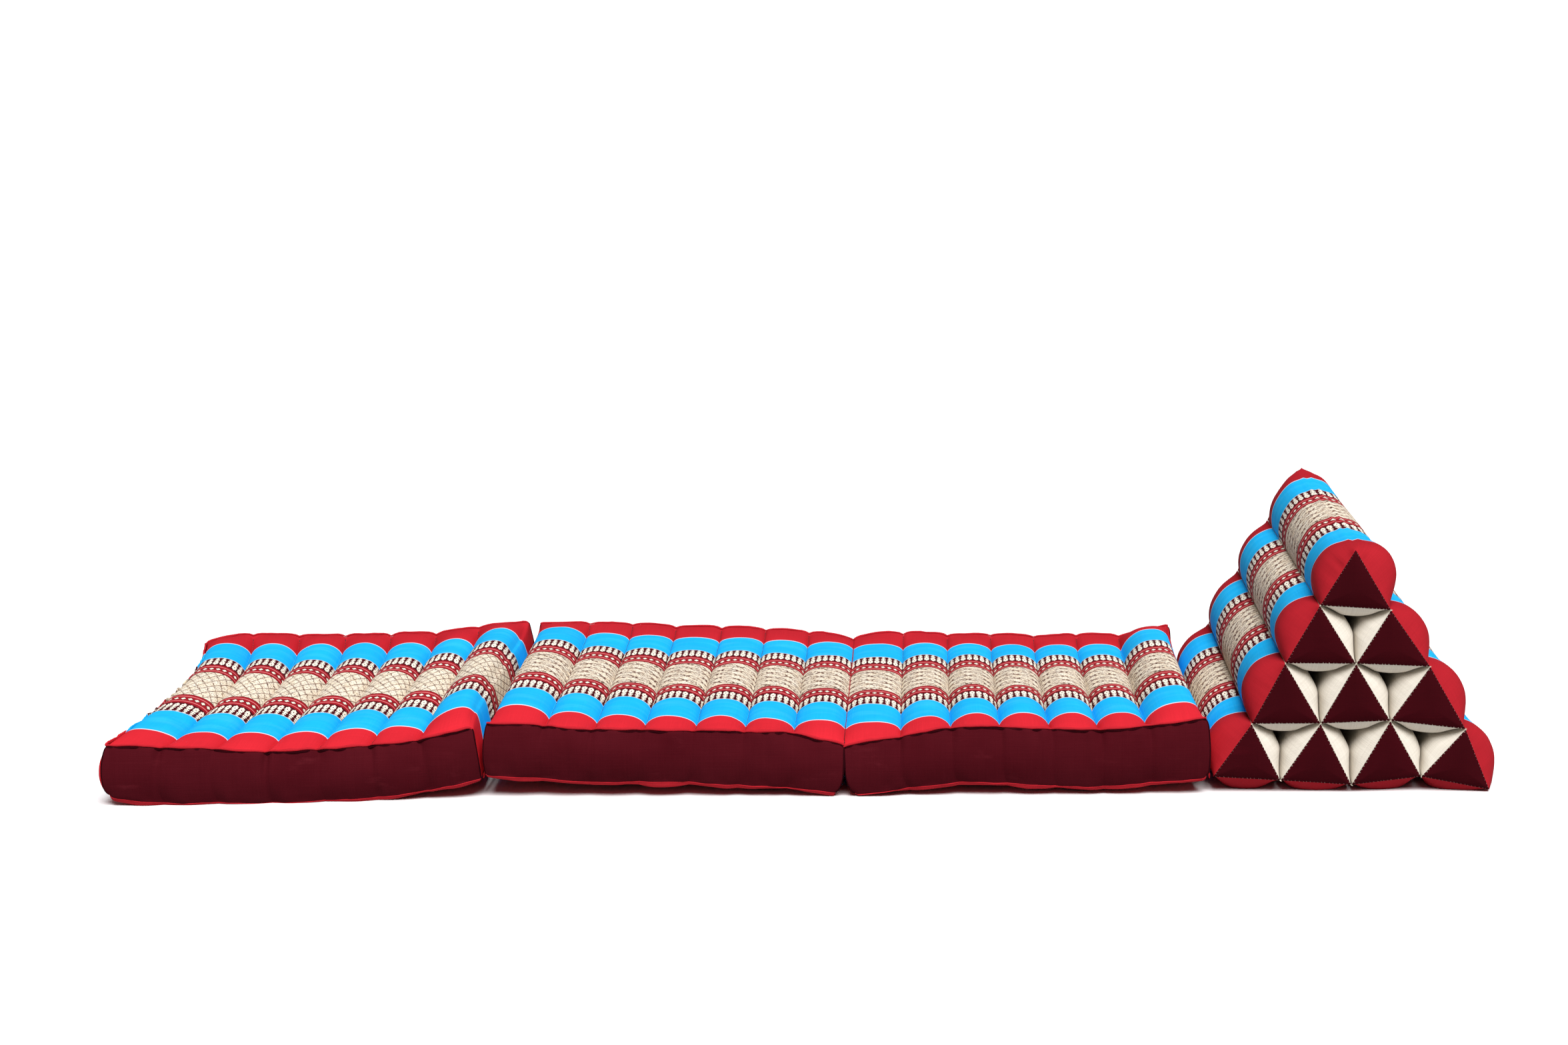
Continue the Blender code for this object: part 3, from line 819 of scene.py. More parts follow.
def make_seam_folds(mat, side, finishes):
    """The folds round a maroon band: a red lip over a maroon fold at the top, painted dark as the lip's
    shadow, and a narrow red edge, with maroon painted dark as shade up the ends.
    """
    mesh = bmesh.new()
    cloth = mesh.loops.layers.uv.new("cloth")
    alongs = along_steps()[::2]
    path = [(along, 1) for along in alongs]
    path += [(CHANNELS, up) for up in reversed(UP_STEPS[1:-1])]
    path += [(along, 0) for along in reversed(alongs)]
    path += [(0, up) for up in UP_STEPS[1:-1]]
    centre = mat_skin(mat, CHANNELS / 2, side, 0.5)
    points = [mat_skin(mat, along, side, up) for along, up in path]
    outs = [Vector((0, side, 0)) + 0.35 * (p - centre).normalized() for p in points]
    seed = MATS.index(mat) * 3.1 + side

    def section(i, run):
        along, up = path[i]
        fullness = 1 + 0.35 * wave(run, 15, seed) + 0.2 * wave(run, 6, seed + 1)
        if up == 1:
            pinch = 0.7 + 0.3 * channel_arch(along)
            return oval(1.4 * MM * fullness, 1.6 * MM * fullness * pinch, 0.8 * MM, side * 0.8 * MM)
        if up == 0:
            return oval(0.5 * MM * fullness, 0.6 * MM * fullness, 0.1 * MM, 0)
        return oval(0.7 * MM * fullness, 0.8 * MM * fullness, 0, 0)

    # The lip and the foot edge are red; the upright end folds get maroon painted dark as shade
    slots = [0 if up in (0, 1) else 1 for _, up in path]
    add_tube(mesh, cloth, points, outs, section, WIDTH / 2, closed=True, slots=slots)

    def under_section(i, run):
        fullness = 1 + 0.4 * wave(run, 11, seed + 4)
        return oval(0.9 * MM * fullness, 1.1 * MM * fullness, 0.5 * MM, 0)

    # A real maroon fold under the lip, painted dark as the lip's shadow
    under = [
        mat_skin(mat, along, side, 1) - Vector((0, 0, (2.2 + 0.6 * wave(along * 60, 13, seed)) * MM))
        for along in alongs[1:-1]
    ]
    add_tube(mesh, cloth, under, [Vector((0, side, 0))] * len(under), under_section, WIDTH / 2, slots=(1,))
    side_name = "front" if side < 0 else "back"
    return finish_piece(f"{mat.name}_{side_name}_seam_fold", mesh, finishes, merge=False)


def make_closing_seam(finish):
    """The ragged raised seam that closes the far mat's left end."""
    mat = MATS[0]
    mesh = bmesh.new()
    cloth = mesh.loops.layers.uv.new("cloth")
    acrosses = across_steps()
    rows = []
    for lift, out in ((0, 1.6), (3.5, 3.4), (7.4, 2.2), (8.0, 1.0), (7.4, 0.0), (3.5, 1.2), (0, -0.4)):
        row = []
        for a in acrosses:
            base = mat_skin(mat, 0, a, 1)
            tall = 0.75 + 0.5 * wave(base.y, 16, 3) + 0.3 * wave(base.y, 5, 8)
            lean = 2.2 * wave(base.y, 21, 12)
            point = base + Vector((-(out + lean * lift / 5), 0, lift * tall - 0.8)) * MM
            row.append((point, (lift * MM, a * WIDTH / 2)))
        rows.append(row)
    rows.append(rows[0])
    add_sheet(mesh, rows, cloth, 0)
    bmesh.ops.remove_doubles(mesh, verts=mesh.verts[:], dist=0.02 * MM)
    ends = [edge for edge in mesh.edges if edge.is_boundary]
    bmesh.ops.holes_fill(mesh, edges=ends)
    return finish_piece("closing_seam", mesh, [finish])


def add_stitch(mesh, start, end, radius, bow):
    """One stitch of thread: a short bowed capsule from hole to hole."""
    way = end - start
    side = way.cross(bow).normalized()
    rise = bow.normalized()
    rings = []
    for share, thickness in ((0, 0.35), (0.2, 0.9), (0.5, 1), (0.8, 0.9), (1, 0.35)):
        middle = start + way * share + bow * 4 * share * (1 - share)
        ring = []
        for k in range(5):
            turn = 2 * math.pi * k / 5
            offset = (side * math.cos(turn) + rise * math.sin(turn)) * radius * thickness
            ring.append(mesh.verts.new(middle + offset + CENTRE_SHIFT))
        rings.append(ring)
    for first, second in zip(rings, rings[1:]):
        for k in range(5):
            n = (k + 1) % 5
            mesh.faces.new((first[k], first[n], second[n], second[k]))
    mesh.faces.new(list(reversed(rings[0])))
    mesh.faces.new(rings[-1])


def make_channel_stitching(mat, finish):
    """Running stitches in the valleys between a mat's channels."""
    mesh = bmesh.new()
    pitch = 6.5 * MM
    for line in range(1, CHANNELS + (1 if mat.right.drawn_over else 0)):
        count = int(WIDTH / pitch)
        for i in range(1, count):
            a = -1 + 2 * (i - 0.36) / count
            b = -1 + 2 * (i + 0.36) / count
            start = mat_skin(mat, line, a, 1) + Vector((0, 0, 0.1 * MM))
            end = mat_skin(mat, line, b, 1) + Vector((0, 0, 0.1 * MM))
            add_stitch(mesh, start, end, 0.5 * MM, Vector((0, 0, 0.35 * MM)))
    return finish_piece(f"{mat.name}_channel_stitching", mesh, [finish], merge=False)


def make_panel_stitching(name, finish, on_hollows):
    """Whip stitches over the end panels' edges: cream on the hollows' rims, dull red on the outer ones."""
    draw = random.Random(7 if on_hollows else 8)
    mesh = bmesh.new()
    for row in range(ROLL_ROWS):
        for place in range(row + 1):
            sides = roll_sides(row, place)
            for side, (start, end, hollow) in enumerate(sides):
                if (hollow is not None) != on_hollows:
                    continue
                length = (end - start).length
                count = int(length / (4.4 * MM))
                for from_front, facing in ((0, -1), (WIDTH, 1)):
                    for i in range(1, count):
                        t = (i + draw.uniform(-0.2, 0.2)) / count
                        rim, outward = roll_point(row, place, side, t, from_front)
                        along = (end - start).normalized()
                        way = Vector((along.x, 0, along.y))
                        reach = draw.uniform(0.9, 1.5) * MM
                        inner = rim - outward * reach - way * draw.uniform(0.2, 0.9) * MM
                        outer = rim + outward * 0.1 * MM + way * 0.4 * MM
                        lift = Vector((0, facing, 0)) * MM
                        inner += lift * 0.9
                        outer += lift * 0.1
                        add_stitch(mesh, inner, outer, 0.3 * MM, lift * 0.5)
    return finish_piece(name, mesh, [finish], merge=False)


def make_tacks(finish):
    """Small knots of thread where the corners of the rolls are sewn together at both ends."""
    draw = random.Random(11)
    mesh = bmesh.new()
    for row in range(1, ROLL_ROWS + 1):
        for line in range(row + 1):
            if row == ROLL_ROWS and line in (0, ROLL_ROWS):
                continue
            corner = sewn_line(row, line)
            for y, facing in ((-WIDTH / 2, -1), (WIDTH / 2, 1)):
                if facing > 0 and line in (0, row):
                    continue
                centre = Vector((corner.x, y + facing * 0.6 * MM, max(corner.y, 2.5 * MM)))
                for _ in range(4):
                    turn = draw.uniform(0, math.pi)
                    reach = draw.uniform(1.0, 1.8) * MM
                    way = Vector((math.cos(turn), 0, math.sin(turn))) * reach
                    way.z = max(way.z, 1 * MM - centre.z)
                    bow = Vector((0, facing * draw.uniform(0.6, 1.2) * MM, 0))
                    add_stitch(mesh, centre - way, centre + way, 0.36 * MM, bow)
    return finish_piece("corner_tacks", mesh, [finish], merge=False)


def make_joint_strip(node, flat_width, finish):
    """A folded strip of cloth that joins two mats, hanging between them as a narrow fold."""
    low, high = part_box(node)
    low, high = Vector(low) - CENTRE_SHIFT, Vector(high) - CENTRE_SHIFT
    middle_x = (low.x + high.x) / 2
    leg = flat_width / 2
    mesh = bmesh.new()
    cloth = mesh.loops.layers.uv.new("cloth")
    steps = 120
    outline = ((-0.7, 1), (-0.75, 0.5), (-0.6, 0.12), (0, 0), (0.6, 0.12), (0.75, 0.5), (0.7, 1))
    inner = ((0.35, 1), (0.4, 0.5), (0.3, 0.2), (0, 0.12), (-0.3, 0.2), (-0.4, 0.5), (-0.35, 1))
    upside = low.z > 30 * MM
    rows = []
    for out, up in outline + inner + outline[:1]:
        row = []
        for i in range(steps + 1):
            y = mix(low.y, high.y, i / steps)
            ripple = 0.25 * wave(y, 14, 2)
            share = 1 - up if upside else up
            z = (high.z - leg * share * 0.9) if upside else (low.z + leg * share * 0.9)
            row.append((Vector((middle_x + (out + ripple) * MM, y, max(z, 0.2 * MM))), (up * leg, y)))
        rows.append(row)
    add_sheet(mesh, rows, cloth, 0)
    bmesh.ops.remove_doubles(mesh, verts=mesh.verts[:], dist=0.01 * MM)
    bmesh.ops.holes_fill(mesh, edges=[edge for edge in mesh.edges if edge.is_boundary])
    strip = finish_piece(node + "_strip", mesh, [finish])
    return strip, (flat_width, high.y - low.y)


# Finishes


class Nodes:
    """Places shader nodes in a tree. Each call adds one node and gives its output."""

    def __init__(self, tree):
        self.tree = tree

    def add(self, kind, **settings):
        node = self.tree.nodes.new(kind)
        for name, value in settings.items():
            setattr(node, name, value)
        return node

    def feed(self, socket, value):
        if isinstance(value, bpy.types.NodeSocket):
            self.tree.links.new(value, socket)
        elif isinstance(value, tuple) and socket.type == "RGBA":
            socket.default_value = (*value, 1)[:4]
        else:
            socket.default_value = value

    def number(self, operation, *values):
        node = self.add("ShaderNodeMath", operation=operation)
        for socket, value in zip(node.inputs, values):
            self.feed(socket, value)
        return node.outputs[0]

    times = partialmethod(number, "MULTIPLY")
    plus = partialmethod(number, "ADD")
    minus = partialmethod(number, "SUBTRACT")
    times_plus = partialmethod(number, "MULTIPLY_ADD")
    most = partialmethod(number, "MAXIMUM")
    least = partialmethod(number, "MINIMUM")
    size = partialmethod(number, "ABSOLUTE")

    def vector(self, operation, *values):
        node = self.add("ShaderNodeVectorMath", operation=operation)
        for socket, value in zip(node.inputs, values):
            self.feed(socket, value)
        return node.outputs["Value" if operation == "LENGTH" else "Vector"]

    def ramp(self, value, low, high):
        """0 below low, 1 above high and even between them. low may be the higher one."""
        node = self.add("ShaderNodeMapRange")
        self.feed(node.inputs["Value"], value)
        self.feed(node.inputs["From Min"], low)
        self.feed(node.inputs["From Max"], high)
        return node.outputs["Result"]

    def colour(self, share, first, second, blend="MIX"):
        node = self.add("ShaderNodeMix", data_type="RGBA", blend_type=blend)
        self.feed(node.inputs["Factor"], share)
        self.feed(node.inputs[6], first)
        self.feed(node.inputs[7], second)
        return node.outputs[2]

    def noise(self, where, scale, detail=2.0, roughness=0.5):
        node = self.add("ShaderNodeTexNoise")
        self.feed(node.inputs["Vector"], where)
        node.inputs["Scale"].default_value = scale
        node.inputs["Detail"].default_value = detail
        node.inputs["Roughness"].default_value = roughness
        return node.outputs["Fac"]

    def separate(self, vector):
        node = self.add("ShaderNodeSeparateXYZ")
        self.feed(node.inputs[0], vector)
        return node.outputs

    def combine(self, x, y, z=0.0):
        node = self.add("ShaderNodeCombineXYZ")
        for socket, value in zip(node.inputs, (x, y, z)):
            self.feed(socket, value)
        return node.outputs[0]

    def group(self, tree, **values):
        node = self.add("ShaderNodeGroup", node_tree=tree)
        for name, value in values.items():
            self.feed(node.inputs[name], value)
        return node.outputs


def new_group(name, inputs, outputs):
    """A shader node group with named sockets. Gives its tree, its node placer, its inputs and its outputs."""
    tree = bpy.data.node_groups.new(name, "ShaderNodeTree")
    for direction, sockets in (("INPUT", inputs), ("OUTPUT", outputs)):
        for socket_name, kind in sockets:
            tree.interface.new_socket(name=socket_name, in_out=direction, socket_type="NodeSocket" + kind)
    nodes = Nodes(tree)
    ins = nodes.add("NodeGroupInput").outputs
    outs = nodes.add("NodeGroupOutput").inputs
    return tree, nodes, ins, outs


def within(nodes, value, centre, half, soft):
    """1 where a value is within half of the centre, with a soft edge."""
    away = nodes.size(nodes.minus(value, centre))
    return nodes.ramp(away, half + soft, half - soft)


def repeat(nodes, value, pitch):
    """The value's place in its repeat, from minus to plus half a pitch."""
    wrapped = nodes.number("FLOORED_MODULO", value, pitch)
    return nodes.minus(wrapped, pitch / 2)


def oval_distance(nodes, x, y, centre, radii):
    """1 on the oval's edge, less inside it."""
    point = nodes.combine(x, y)
    moved = nodes.vector("SUBTRACT", point, (*centre, 0))
    scaled = nodes.vector("DIVIDE", moved, (*radii, 1))
    return nodes.vector("LENGTH", scaled)


# One flower figure, in mm from its middle: petals on each side of its stalk, from the cream side to the blue
Petal = namedtuple("Petal", "out along wide tall")

PETALS = (
    Petal(0.0, -14.2, 1.3, 2.4),
    Petal(1.9, -11.0, 1.35, 2.5),
    Petal(2.45, -5.6, 1.15, 2.3),
    Petal(1.5, -0.6, 1.35, 2.1),
    Petal(1.75, 6.0, 1.45, 2.0),
    Petal(1.2, 11.4, 1.2, 1.7),
)


def flower_row(nodes, along, across):
    """Share of pale figure in the row of flowers, whose middle is across 0."""
    x = nodes.size(repeat(nodes, along, MOTIF_PITCH))
    nearest = 10.0
    for petal in PETALS:
        edge = oval_distance(nodes, x, across, (petal.out, petal.along), (petal.wide, petal.tall))
        nearest = nodes.least(edge, nearest)
    for part in (MOTIF_HEAD, MOTIF_STALK, MOTIF_FOOT):
        nearest = nodes.least(nearest, oval_distance(nodes, x, across, *part))
    figure = nodes.ramp(nearest, 1.08, 0.92)
    eye = oval_distance(nodes, x, across, *MOTIF_EYE)
    return nodes.times(figure, nodes.ramp(eye, 0.9, 1.15))


def make_print_group():
    """The printed cloth's stripes and figures, from a place on the cloth in metres."""
    tree, nodes, ins, outs = new_group(
        "printed_stripes", [("Cloth", "Vector"), ("Net", "Float"), ("Deep", "Float")], [("Color", "Color")]
    )
    millimetres = nodes.vector("MULTIPLY", ins["Cloth"], (1000.0, 1000.0, 1000.0))
    along, across, _ = nodes.separate(millimetres)
    drift = nodes.noise(millimetres, 0.05, 1)
    drift = nodes.times(nodes.minus(drift, 0.5), 1.6)
    off_middle = nodes.plus(nodes.size(across), drift)

    # Cream middle: staggered lens strokes, ticks and specks, or a net of slanting lines
    tremble = nodes.noise(millimetres, 0.22, 2)
    tremble = nodes.times(nodes.minus(tremble, 0.5), 5.0)
    x = nodes.plus(along, tremble)
    y = nodes.plus(across, nodes.times(tremble, 1.8))
    column = nodes.number("FLOOR", nodes.number("DIVIDE", x, COLUMN_PITCH))
    stagger = nodes.times(nodes.number("FLOORED_MODULO", column, 2.0), LENS_PITCH / 2)
    lens_x = repeat(nodes, x, COLUMN_PITCH)
    lens_y = repeat(nodes, nodes.plus(y, stagger), LENS_PITCH)
    leaning_y = nodes.times_plus(lens_x, LENS_SLANT, lens_y)
    lens = oval_distance(nodes, lens_x, leaning_y, (0, 0), LENS_SIZE)
    strokes = within(nodes, lens, 0.94, 0.2, 0.08)
    heart = nodes.ramp(oval_distance(nodes, lens_x, leaning_y, (0, 0), HEART_SIZE), 1.1, 0.8)
    ticks = within(nodes, repeat(nodes, x, TICK_PITCHES[0]), 0.0, 0.42, 0.2)
    ticks = nodes.times(ticks, within(nodes, repeat(nodes, leaning_y, TICK_PITCHES[1]), 0.0, 1.5, 0.5))
    ticks = nodes.times(ticks, nodes.ramp(lens, 1.08, 1.2))
    scribble = nodes.noise(nodes.vector("MULTIPLY", millimetres, (0.30, 0.13, 1.0)), 1.0, 2, 0.6)
    scribble = nodes.times(within(nodes, scribble, 0.5, 0.02, 0.02), 0.55)
    specks = nodes.noise(nodes.vector("MULTIPLY", millimetres, (0.45, 0.22, 1.0)), 1.0, 2, 0.6)
    specks = nodes.times(nodes.ramp(specks, 0.61, 0.68), 0.6)
    figures = nodes.most(nodes.most(strokes, heart), scribble)
    figures = nodes.most(figures, nodes.times(ticks, 0.6))
    rising = nodes.times_plus(y, NET_PITCH / NET_TALL, x)
    falling = nodes.times_plus(y, -NET_PITCH / NET_TALL, x)
    rising = within(nodes, repeat(nodes, rising, NET_PITCH), 0.0, NET_LINE, 0.35)
    falling = within(nodes, repeat(nodes, falling, NET_PITCH), 0.0, NET_LINE, 0.35)
    net = nodes.most(nodes.most(rising, falling), nodes.times(ticks, 0.9))
    net = nodes.most(net, scribble)
    marks = nodes.plus(
        nodes.times(net, ins["Net"]),
        nodes.times(figures, nodes.minus(1.0, ins["Net"])),
    )
    patches = nodes.ramp(nodes.noise(millimetres, 0.09, 2), 0.25, 0.75)
    worn = nodes.ramp(nodes.noise(millimetres, 0.3, 2), 0.35, 0.6)
    marks = nodes.times(marks, nodes.times_plus(worn, 0.35, 0.65))
    marks = nodes.most(marks, specks)
    cream = nodes.colour(patches, CREAM, PALE_CREAM)
    shown = nodes.colour(marks, cream, nodes.colour(worn, BROWN_INK, INK))

    # Red stripe with lozenges between two pale lines
    lozenge_x = nodes.size(repeat(nodes, along, LOZENGE_PITCH))
    lozenge_y = nodes.size(nodes.minus(off_middle, float(LOZENGE_ROW)))
    lozenge_x = nodes.number("DIVIDE", lozenge_x, LOZENGE_SIZE[0])
    lozenge = nodes.plus(lozenge_x, nodes.number("DIVIDE", lozenge_y, LOZENGE_SIZE[1]))
    red = nodes.colour(nodes.ramp(lozenge, 1.45, 1.3), DEEP_RED, INK)
    red = nodes.colour(nodes.ramp(lozenge, 1.05, 0.9), red, PALE_CREAM)
    for line in PINK_LINES:
        red = nodes.colour(within(nodes, off_middle, line, 1.1, 0.4), red, PINK_LINE)
    shown = nodes.colour(nodes.ramp(off_middle, CREAM_EDGE - 0.3, CREAM_EDGE + 0.3), shown, red)
    shown = nodes.colour(within(nodes, off_middle, CREAM_EDGE + 0.4, 0.7, 0.3), shown, INK)

    # Maroon stripe with flowers, blue, a white line and the red edge
    flowers = flower_row(nodes, along, nodes.minus(off_middle, float(MOTIF_ROW)))
    maroon = nodes.colour(flowers, MOTIF_GROUND, PALE_CREAM)
    shown = nodes.colour(nodes.ramp(off_middle, MOTIF_EDGE - 0.3, MOTIF_EDGE + 0.3), shown, maroon)
    streaks = nodes.noise(nodes.vector("MULTIPLY", ins["Cloth"], (14.0, 70.0, 1.0)), 1.0, 3, 0.55)
    blue = nodes.colour(nodes.ramp(streaks, 0.45, 1.1), BLUE, PALE_BLUE)
    shown = nodes.colour(nodes.ramp(off_middle, BLUE_EDGE - 0.3, BLUE_EDGE + 0.3), shown, blue)
    shown = nodes.colour(within(nodes, off_middle, float(BLUE_EDGE), 0.6, 0.3), shown, WHITE_LINE)
    shown = nodes.colour(nodes.ramp(off_middle, WHITE_EDGE - 0.3, WHITE_EDGE + 0.3), shown, WHITE_LINE)
    # Painted shade: the red edge darkens towards wine red over the back border
    painted_rear_shade = nodes.times(nodes.ramp(across, 150.0, 260.0), 0.75)
    edge_red = nodes.colour(nodes.most(ins["Deep"], painted_rear_shade), RED, WINE_RED)
    shown = nodes.colour(nodes.ramp(off_middle, RED_EDGE - 0.3, RED_EDGE + 0.3), shown, edge_red)
    nodes.feed(outs["Color"], shown)
    return tree


def make_weave_group():
    """Plain weave of fine threads, some thicker than others, from a place on the cloth in metres."""
    inputs = [("Cloth", "Vector"), ("Threads", "Float")]
    tree, nodes, ins, outs = new_group("plain_weave", inputs, [("Height", "Float"), ("Shade", "Float")])
    x, y, _ = nodes.separate(ins["Cloth"])
    turns_x = nodes.times(x, nodes.times(ins["Threads"], math.pi))
    turns_y = nodes.times(y, nodes.times(ins["Threads"], math.pi))
    warp = nodes.number("SINE", turns_x)
    weft = nodes.number("SINE", turns_y)
    crossing = nodes.times(warp, weft)
    slubs_x = nodes.noise(nodes.vector("MULTIPLY", ins["Cloth"], (14.0, 900.0, 1.0)), 1.0, 2, 0.6)
    slubs_y = nodes.noise(nodes.vector("MULTIPLY", ins["Cloth"], (900.0, 14.0, 1.0)), 1.0, 2, 0.6)
    slubs = nodes.plus(slubs_x, slubs_y)
    height = nodes.times_plus(crossing, 0.35, slubs)
    nodes.feed(outs["Height"], height)
    nodes.feed(outs["Shade"], nodes.ramp(slubs, 0.75, 1.3))
    return tree


def make_wear_group():
    """Slow changes of shade over the cloth, and a few rubbed places."""
    tree, nodes, ins, outs = new_group(
        "handled_cloth", [("Cloth", "Vector")], [("Shade", "Float"), ("Rubbed", "Float")]
    )
    slow = nodes.noise(ins["Cloth"], 9.0, 3, 0.55)
    nodes.feed(outs["Shade"], nodes.ramp(slow, 0.3, 0.7))
    stretched = nodes.vector("MULTIPLY", ins["Cloth"], (22.0, 60.0, 1.0))
    rubbed = nodes.noise(stretched, 1.0, 5, 0.65)
    broad = nodes.noise(ins["Cloth"], 14.0, 1, 0.5)
    rubbed = nodes.times(nodes.ramp(rubbed, 0.56, 0.74), nodes.ramp(broad, 0.5, 0.66))
    nodes.feed(outs["Rubbed"], rubbed)
    return tree


def new_material(name, roughness):
    """A material, its node placer and its shader. The maker of the finish feeds in the colour."""
    material = bpy.data.materials.new(name)
    material.use_nodes = True
    shader = material.node_tree.nodes["Principled BSDF"]
    shader.inputs["Roughness"].default_value = roughness
    return material, Nodes(material.node_tree), shader


def new_cloth(name, roughness, gloss):
    """A cloth's material, its node placer, its shader and the place on the cloth."""
    material, nodes, shader = new_material(name, roughness)
    shader.inputs["Specular IOR Level"].default_value = gloss
    place = nodes.add("ShaderNodeUVMap", uv_map="cloth").outputs["UV"]
    return material, nodes, shader, place


def add_bump(nodes, shader, height, depth):
    bump = nodes.add("ShaderNodeBump")
    bump.inputs["Strength"].default_value = 0.6
    bump.inputs["Distance"].default_value = depth
    nodes.feed(bump.inputs["Height"], height)
    nodes.feed(shader.inputs["Normal"], bump.outputs["Normal"])


def make_printed_finish(name, groups, net, deep):
    material, nodes, shader, place = new_cloth(name, 0.72, 0.05)
    printed = nodes.group(groups["print"], Cloth=place, Net=net, Deep=deep)
    weave = nodes.group(groups["weave"], Cloth=place, Threads=1900.0)
    wear = nodes.group(groups["wear"], Cloth=place)
    shade = nodes.times_plus(weave["Shade"], 0.10, 0.90)
    shade = nodes.times(shade, nodes.times_plus(wear["Shade"], 0.10, 0.93))
    shown = nodes.colour(1.0, printed["Color"], nodes.combine(shade, shade, shade), "MULTIPLY")
    nodes.feed(shader.inputs["Base Color"], shown)
    nodes.feed(shader.inputs["Roughness"], nodes.times_plus(wear["Rubbed"], -0.1, 0.74))
    add_bump(nodes, shader, weave["Height"], 0.00025)
    return material


# Plain cloths: two shades, threads per metre, how much slubs and rubbed places show, roughness and gloss
PlainCloth = namedtuple("PlainCloth", "name dark light threads slubs rubbed roughness gloss")

PLAIN_CLOTHS = {
    "maroon": PlainCloth("maroon_cotton_cloth", MAROON, MAROON_LIGHT, 1700.0, 0.16, 0.7, 0.8, 0.03),
    "panel_maroon": PlainCloth("maroon_panel_cloth", PANEL_MAROON, MAROON, 1700.0, 0.16, 0.6, 0.8, 0.02),
    # Painted shade: the seam folds' dark maroon, on their upright ends and on the fold under the lip
    "shade_painted_maroon": PlainCloth("folded_maroon_cloth", MAROON_PAINTED_AS_SHADE, MAROON, 1700.0, 0.3, 0.2, 0.85, 0.02),
    "red": PlainCloth("red_cotton_cloth", DEEP_RED, RED, 1900.0, 0.3, 0.3, 0.75, 0.08),
    "wine_red": PlainCloth("wine_red_cotton_cloth", DEEP_RED, WINE_RED, 1900.0, 0.3, 0.3, 0.75, 0.04),
    "lining": PlainCloth("cream_lining_cloth", LINING_SHADE, LINING, 1500.0, 0.5, 0.1, 0.82, 0.08),
}


def make_plain_finish(cloth, groups):
    material, nodes, shader, place = new_cloth(cloth.name, cloth.roughness, cloth.gloss)
    weave = nodes.group(groups["weave"], Cloth=place, Threads=cloth.threads)
    wear = nodes.group(groups["wear"], Cloth=place)
    share = nodes.times(weave["Shade"], cloth.slubs)
    share = nodes.times_plus(wear["Rubbed"], cloth.rubbed, share)
    share = nodes.times_plus(wear["Shade"], 0.3, share)
    nodes.feed(shader.inputs["Base Color"], nodes.colour(share, cloth.dark, cloth.light))
    nodes.feed(shader.inputs["Roughness"], nodes.times_plus(wear["Rubbed"], -0.12, cloth.roughness))
    add_bump(nodes, shader, weave["Height"], 0.0004)
    return material


def make_thread_finish(name, dark, light):
    material, nodes, shader = new_material(name, 0.7)
    place = nodes.add("ShaderNodeTexCoord").outputs["Object"]
    twist = nodes.noise(place, 900.0, 2)
    nodes.feed(shader.inputs["Base Color"], nodes.colour(nodes.ramp(twist, 0.35, 0.65), dark, light))
    return material


def make_finishes():
    groups = {"print": make_print_group(), "weave": make_weave_group(), "wear": make_wear_group()}
    finishes = {key: make_plain_finish(cloth, groups) for key, cloth in PLAIN_CLOTHS.items()}
    finishes["print"] = make_printed_finish("printed_cotton_cloth", groups, 0.0, 0.0)
    finishes["net_print"] = make_printed_finish("printed_cotton_net_cloth", groups, 1.0, 0.0)
    finishes["roll_print"] = make_printed_finish("printed_cotton_roll_cloth", groups, 0.0, 1.0)
    finishes["dark_thread"] = make_thread_finish("dark_thread", (0.012, 0.004, 0.006), (0.05, 0.012, 0.016))
    finishes["cream_thread"] = make_thread_finish("cream_thread", (0.42, 0.36, 0.27), (0.78, 0.72, 0.60))
    finishes["dull_thread"] = make_thread_finish("dull_red_thread", (0.06, 0.015, 0.018), (0.30, 0.15, 0.13))
    return finishes


# Floor, light and camera


def make_floor():
    """A pale floor that runs beyond the edge of the view, and throws little light back under the cushion."""
    mesh = bmesh.new()
    bmesh.ops.create_grid(mesh, x_segments=8, y_segments=8, size=160)
    data = bpy.data.meshes.new("studio_floor")
    mesh.to_mesh(data)
    mesh.free()
    floor = bpy.data.objects.new("studio_floor", data)
    bpy.context.scene.collection.objects.link(floor)
    material, nodes, shader = new_material("white_paper", 0.9)
    place = nodes.add("ShaderNodeTexCoord").outputs["Object"]
    grain = nodes.noise(place, 3.0, 2)
    paper = nodes.colour(grain, (0.93, 0.93, 0.935), (0.95, 0.95, 0.95))
    seen = nodes.add("ShaderNodeLightPath").outputs["Is Camera Ray"]
    nodes.feed(shader.inputs["Base Color"], nodes.colour(seen, (0.50, 0.50, 0.50), paper))
    data.materials.append(material)


# Broad soft lights: where each one stands round the cushion and above the floor, in degrees, how wide it
# looks from there, and its strength
Light = namedtuple("Light", "name around above width strength")

LIGHTS = (
    Light("front_softbox", 12, 56, 36, 4.5),
    Light("top_softbox", 40, 76, 60, 0.3),
)
WORLD_STRENGTH = 0.09


def make_light():
    for soft in LIGHTS:
        light = bpy.data.lights.new(soft.name, "SUN")
        light.angle = math.radians(soft.width)
        light.energy = soft.strength
        holder = bpy.data.objects.new(soft.name, light)
        holder.rotation_euler = (math.radians(90 - soft.above), 0, math.radians(soft.around))
        bpy.context.scene.collection.objects.link(holder)
    world = bpy.data.worlds.new("white_studio")
    world.use_nodes = True
    background = world.node_tree.nodes["Background"]
    background.inputs["Color"].default_value = (1, 1, 1, 1)
    background.inputs["Strength"].default_value = WORLD_STRENGTH
    bpy.context.scene.world = world
    bpy.context.scene.view_settings.view_transform = "Standard"


CAMERA_PLACE = Vector((0.1562, -3.5343, 0.9976))
CAMERA_TURN = 0.103
CAMERA_DOWN = 11.334
CAMERA_ROLL = -0.33
CAMERA_LENS = 64.29
CAMERA_SHIFT = -0.0881


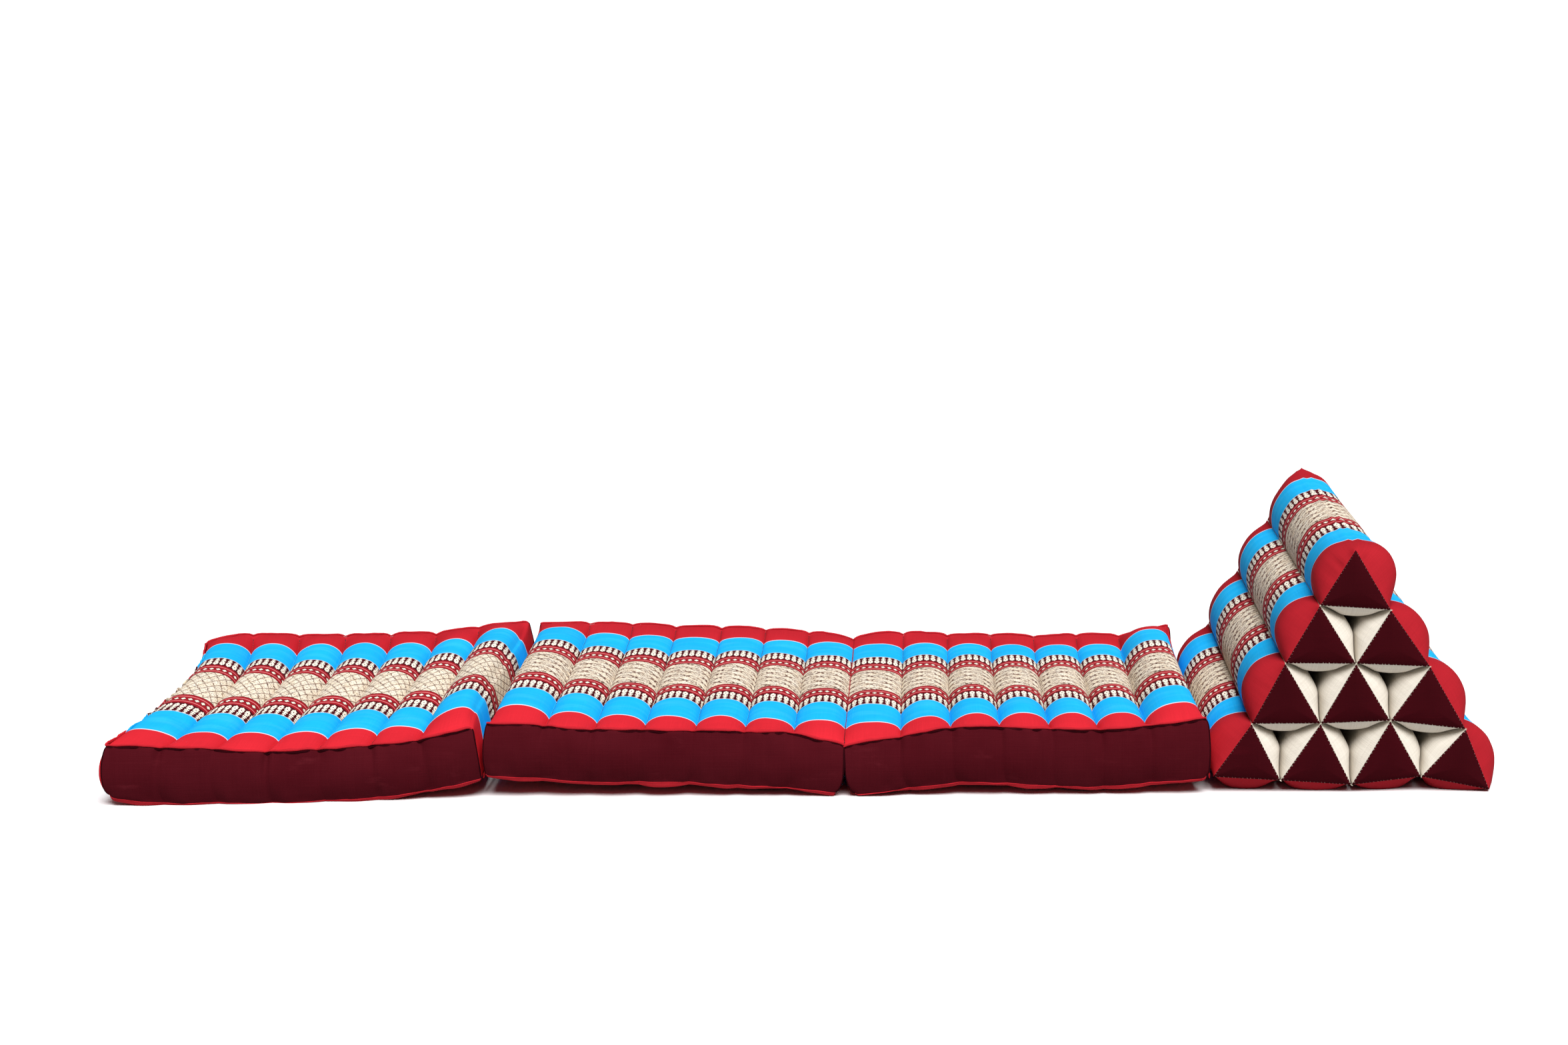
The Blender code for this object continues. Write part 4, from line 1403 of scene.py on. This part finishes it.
def make_camera():
    data = bpy.data.cameras.new("camera")
    data.lens = CAMERA_LENS
    data.sensor_width = 36
    data.shift_x = CAMERA_SHIFT
    camera = bpy.data.objects.new("camera", data)
    turn = Matrix.Rotation(math.radians(CAMERA_TURN), 4, "Z")
    tilt = Matrix.Rotation(math.radians(90 - CAMERA_DOWN), 4, "X")
    roll = Matrix.Rotation(math.radians(CAMERA_ROLL), 4, "Z")
    camera.matrix_world = Matrix.Translation(CAMERA_PLACE) @ turn @ tilt @ roll
    bpy.context.scene.collection.objects.link(camera)
    bpy.context.scene.camera = camera


# Making everything


def place_piece(piece, slot, *nodes):
    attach(piece, "root")
    if nodes:
        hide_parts(*nodes)


def make_cushions(finishes):
    for mat in MATS:
        top = finishes["net_print"] if mat.name == "mat_far" else finishes["print"]
        cushion = make_mat(mat, [top, finishes["maroon"], finishes["red"]])
        place_piece(cushion, "printed_cotton", mat.name)
        for side in (-1, 1):
            folds = make_seam_folds(mat, side, [finishes["print"], finishes["shade_painted_maroon"]])
            place_piece(folds, "printed_cotton")
        place_piece(make_channel_stitching(mat, finishes["dark_thread"]), "maroon_cotton")
    place_piece(make_closing_seam(finishes["net_print"]), "printed_cotton")
    for row in range(ROLL_ROWS):
        for place in range(row + 1):
            order = ("roll_print", "panel_maroon", "lining", "wine_red")
            roll = make_roll(row, place, [finishes[name] for name in order])
            place_piece(roll, "maroon_cotton", f"roll_{row + 1}_{place + 1}")


def make_trimmings(finishes):
    rims = make_panel_stitching("hollow_rim_stitching", finishes["cream_thread"], True)
    place_piece(rims, "printed_cotton")
    edges = make_panel_stitching("panel_edge_stitching", finishes["dull_thread"], False)
    place_piece(edges, "printed_cotton")
    place_piece(make_tacks(finishes["cream_thread"]), "printed_cotton")
    for node in ("hinge_far", "hinge_middle", "hinge_near"):
        strip, flat = make_joint_strip(node, 12 * MM, finishes["red"])
        place_piece(strip, "printed_cotton", node)


def main():
    finishes = make_finishes()
    make_cushions(finishes)
    make_trimmings(finishes)
    make_floor()
    make_light()
    make_camera()


main()
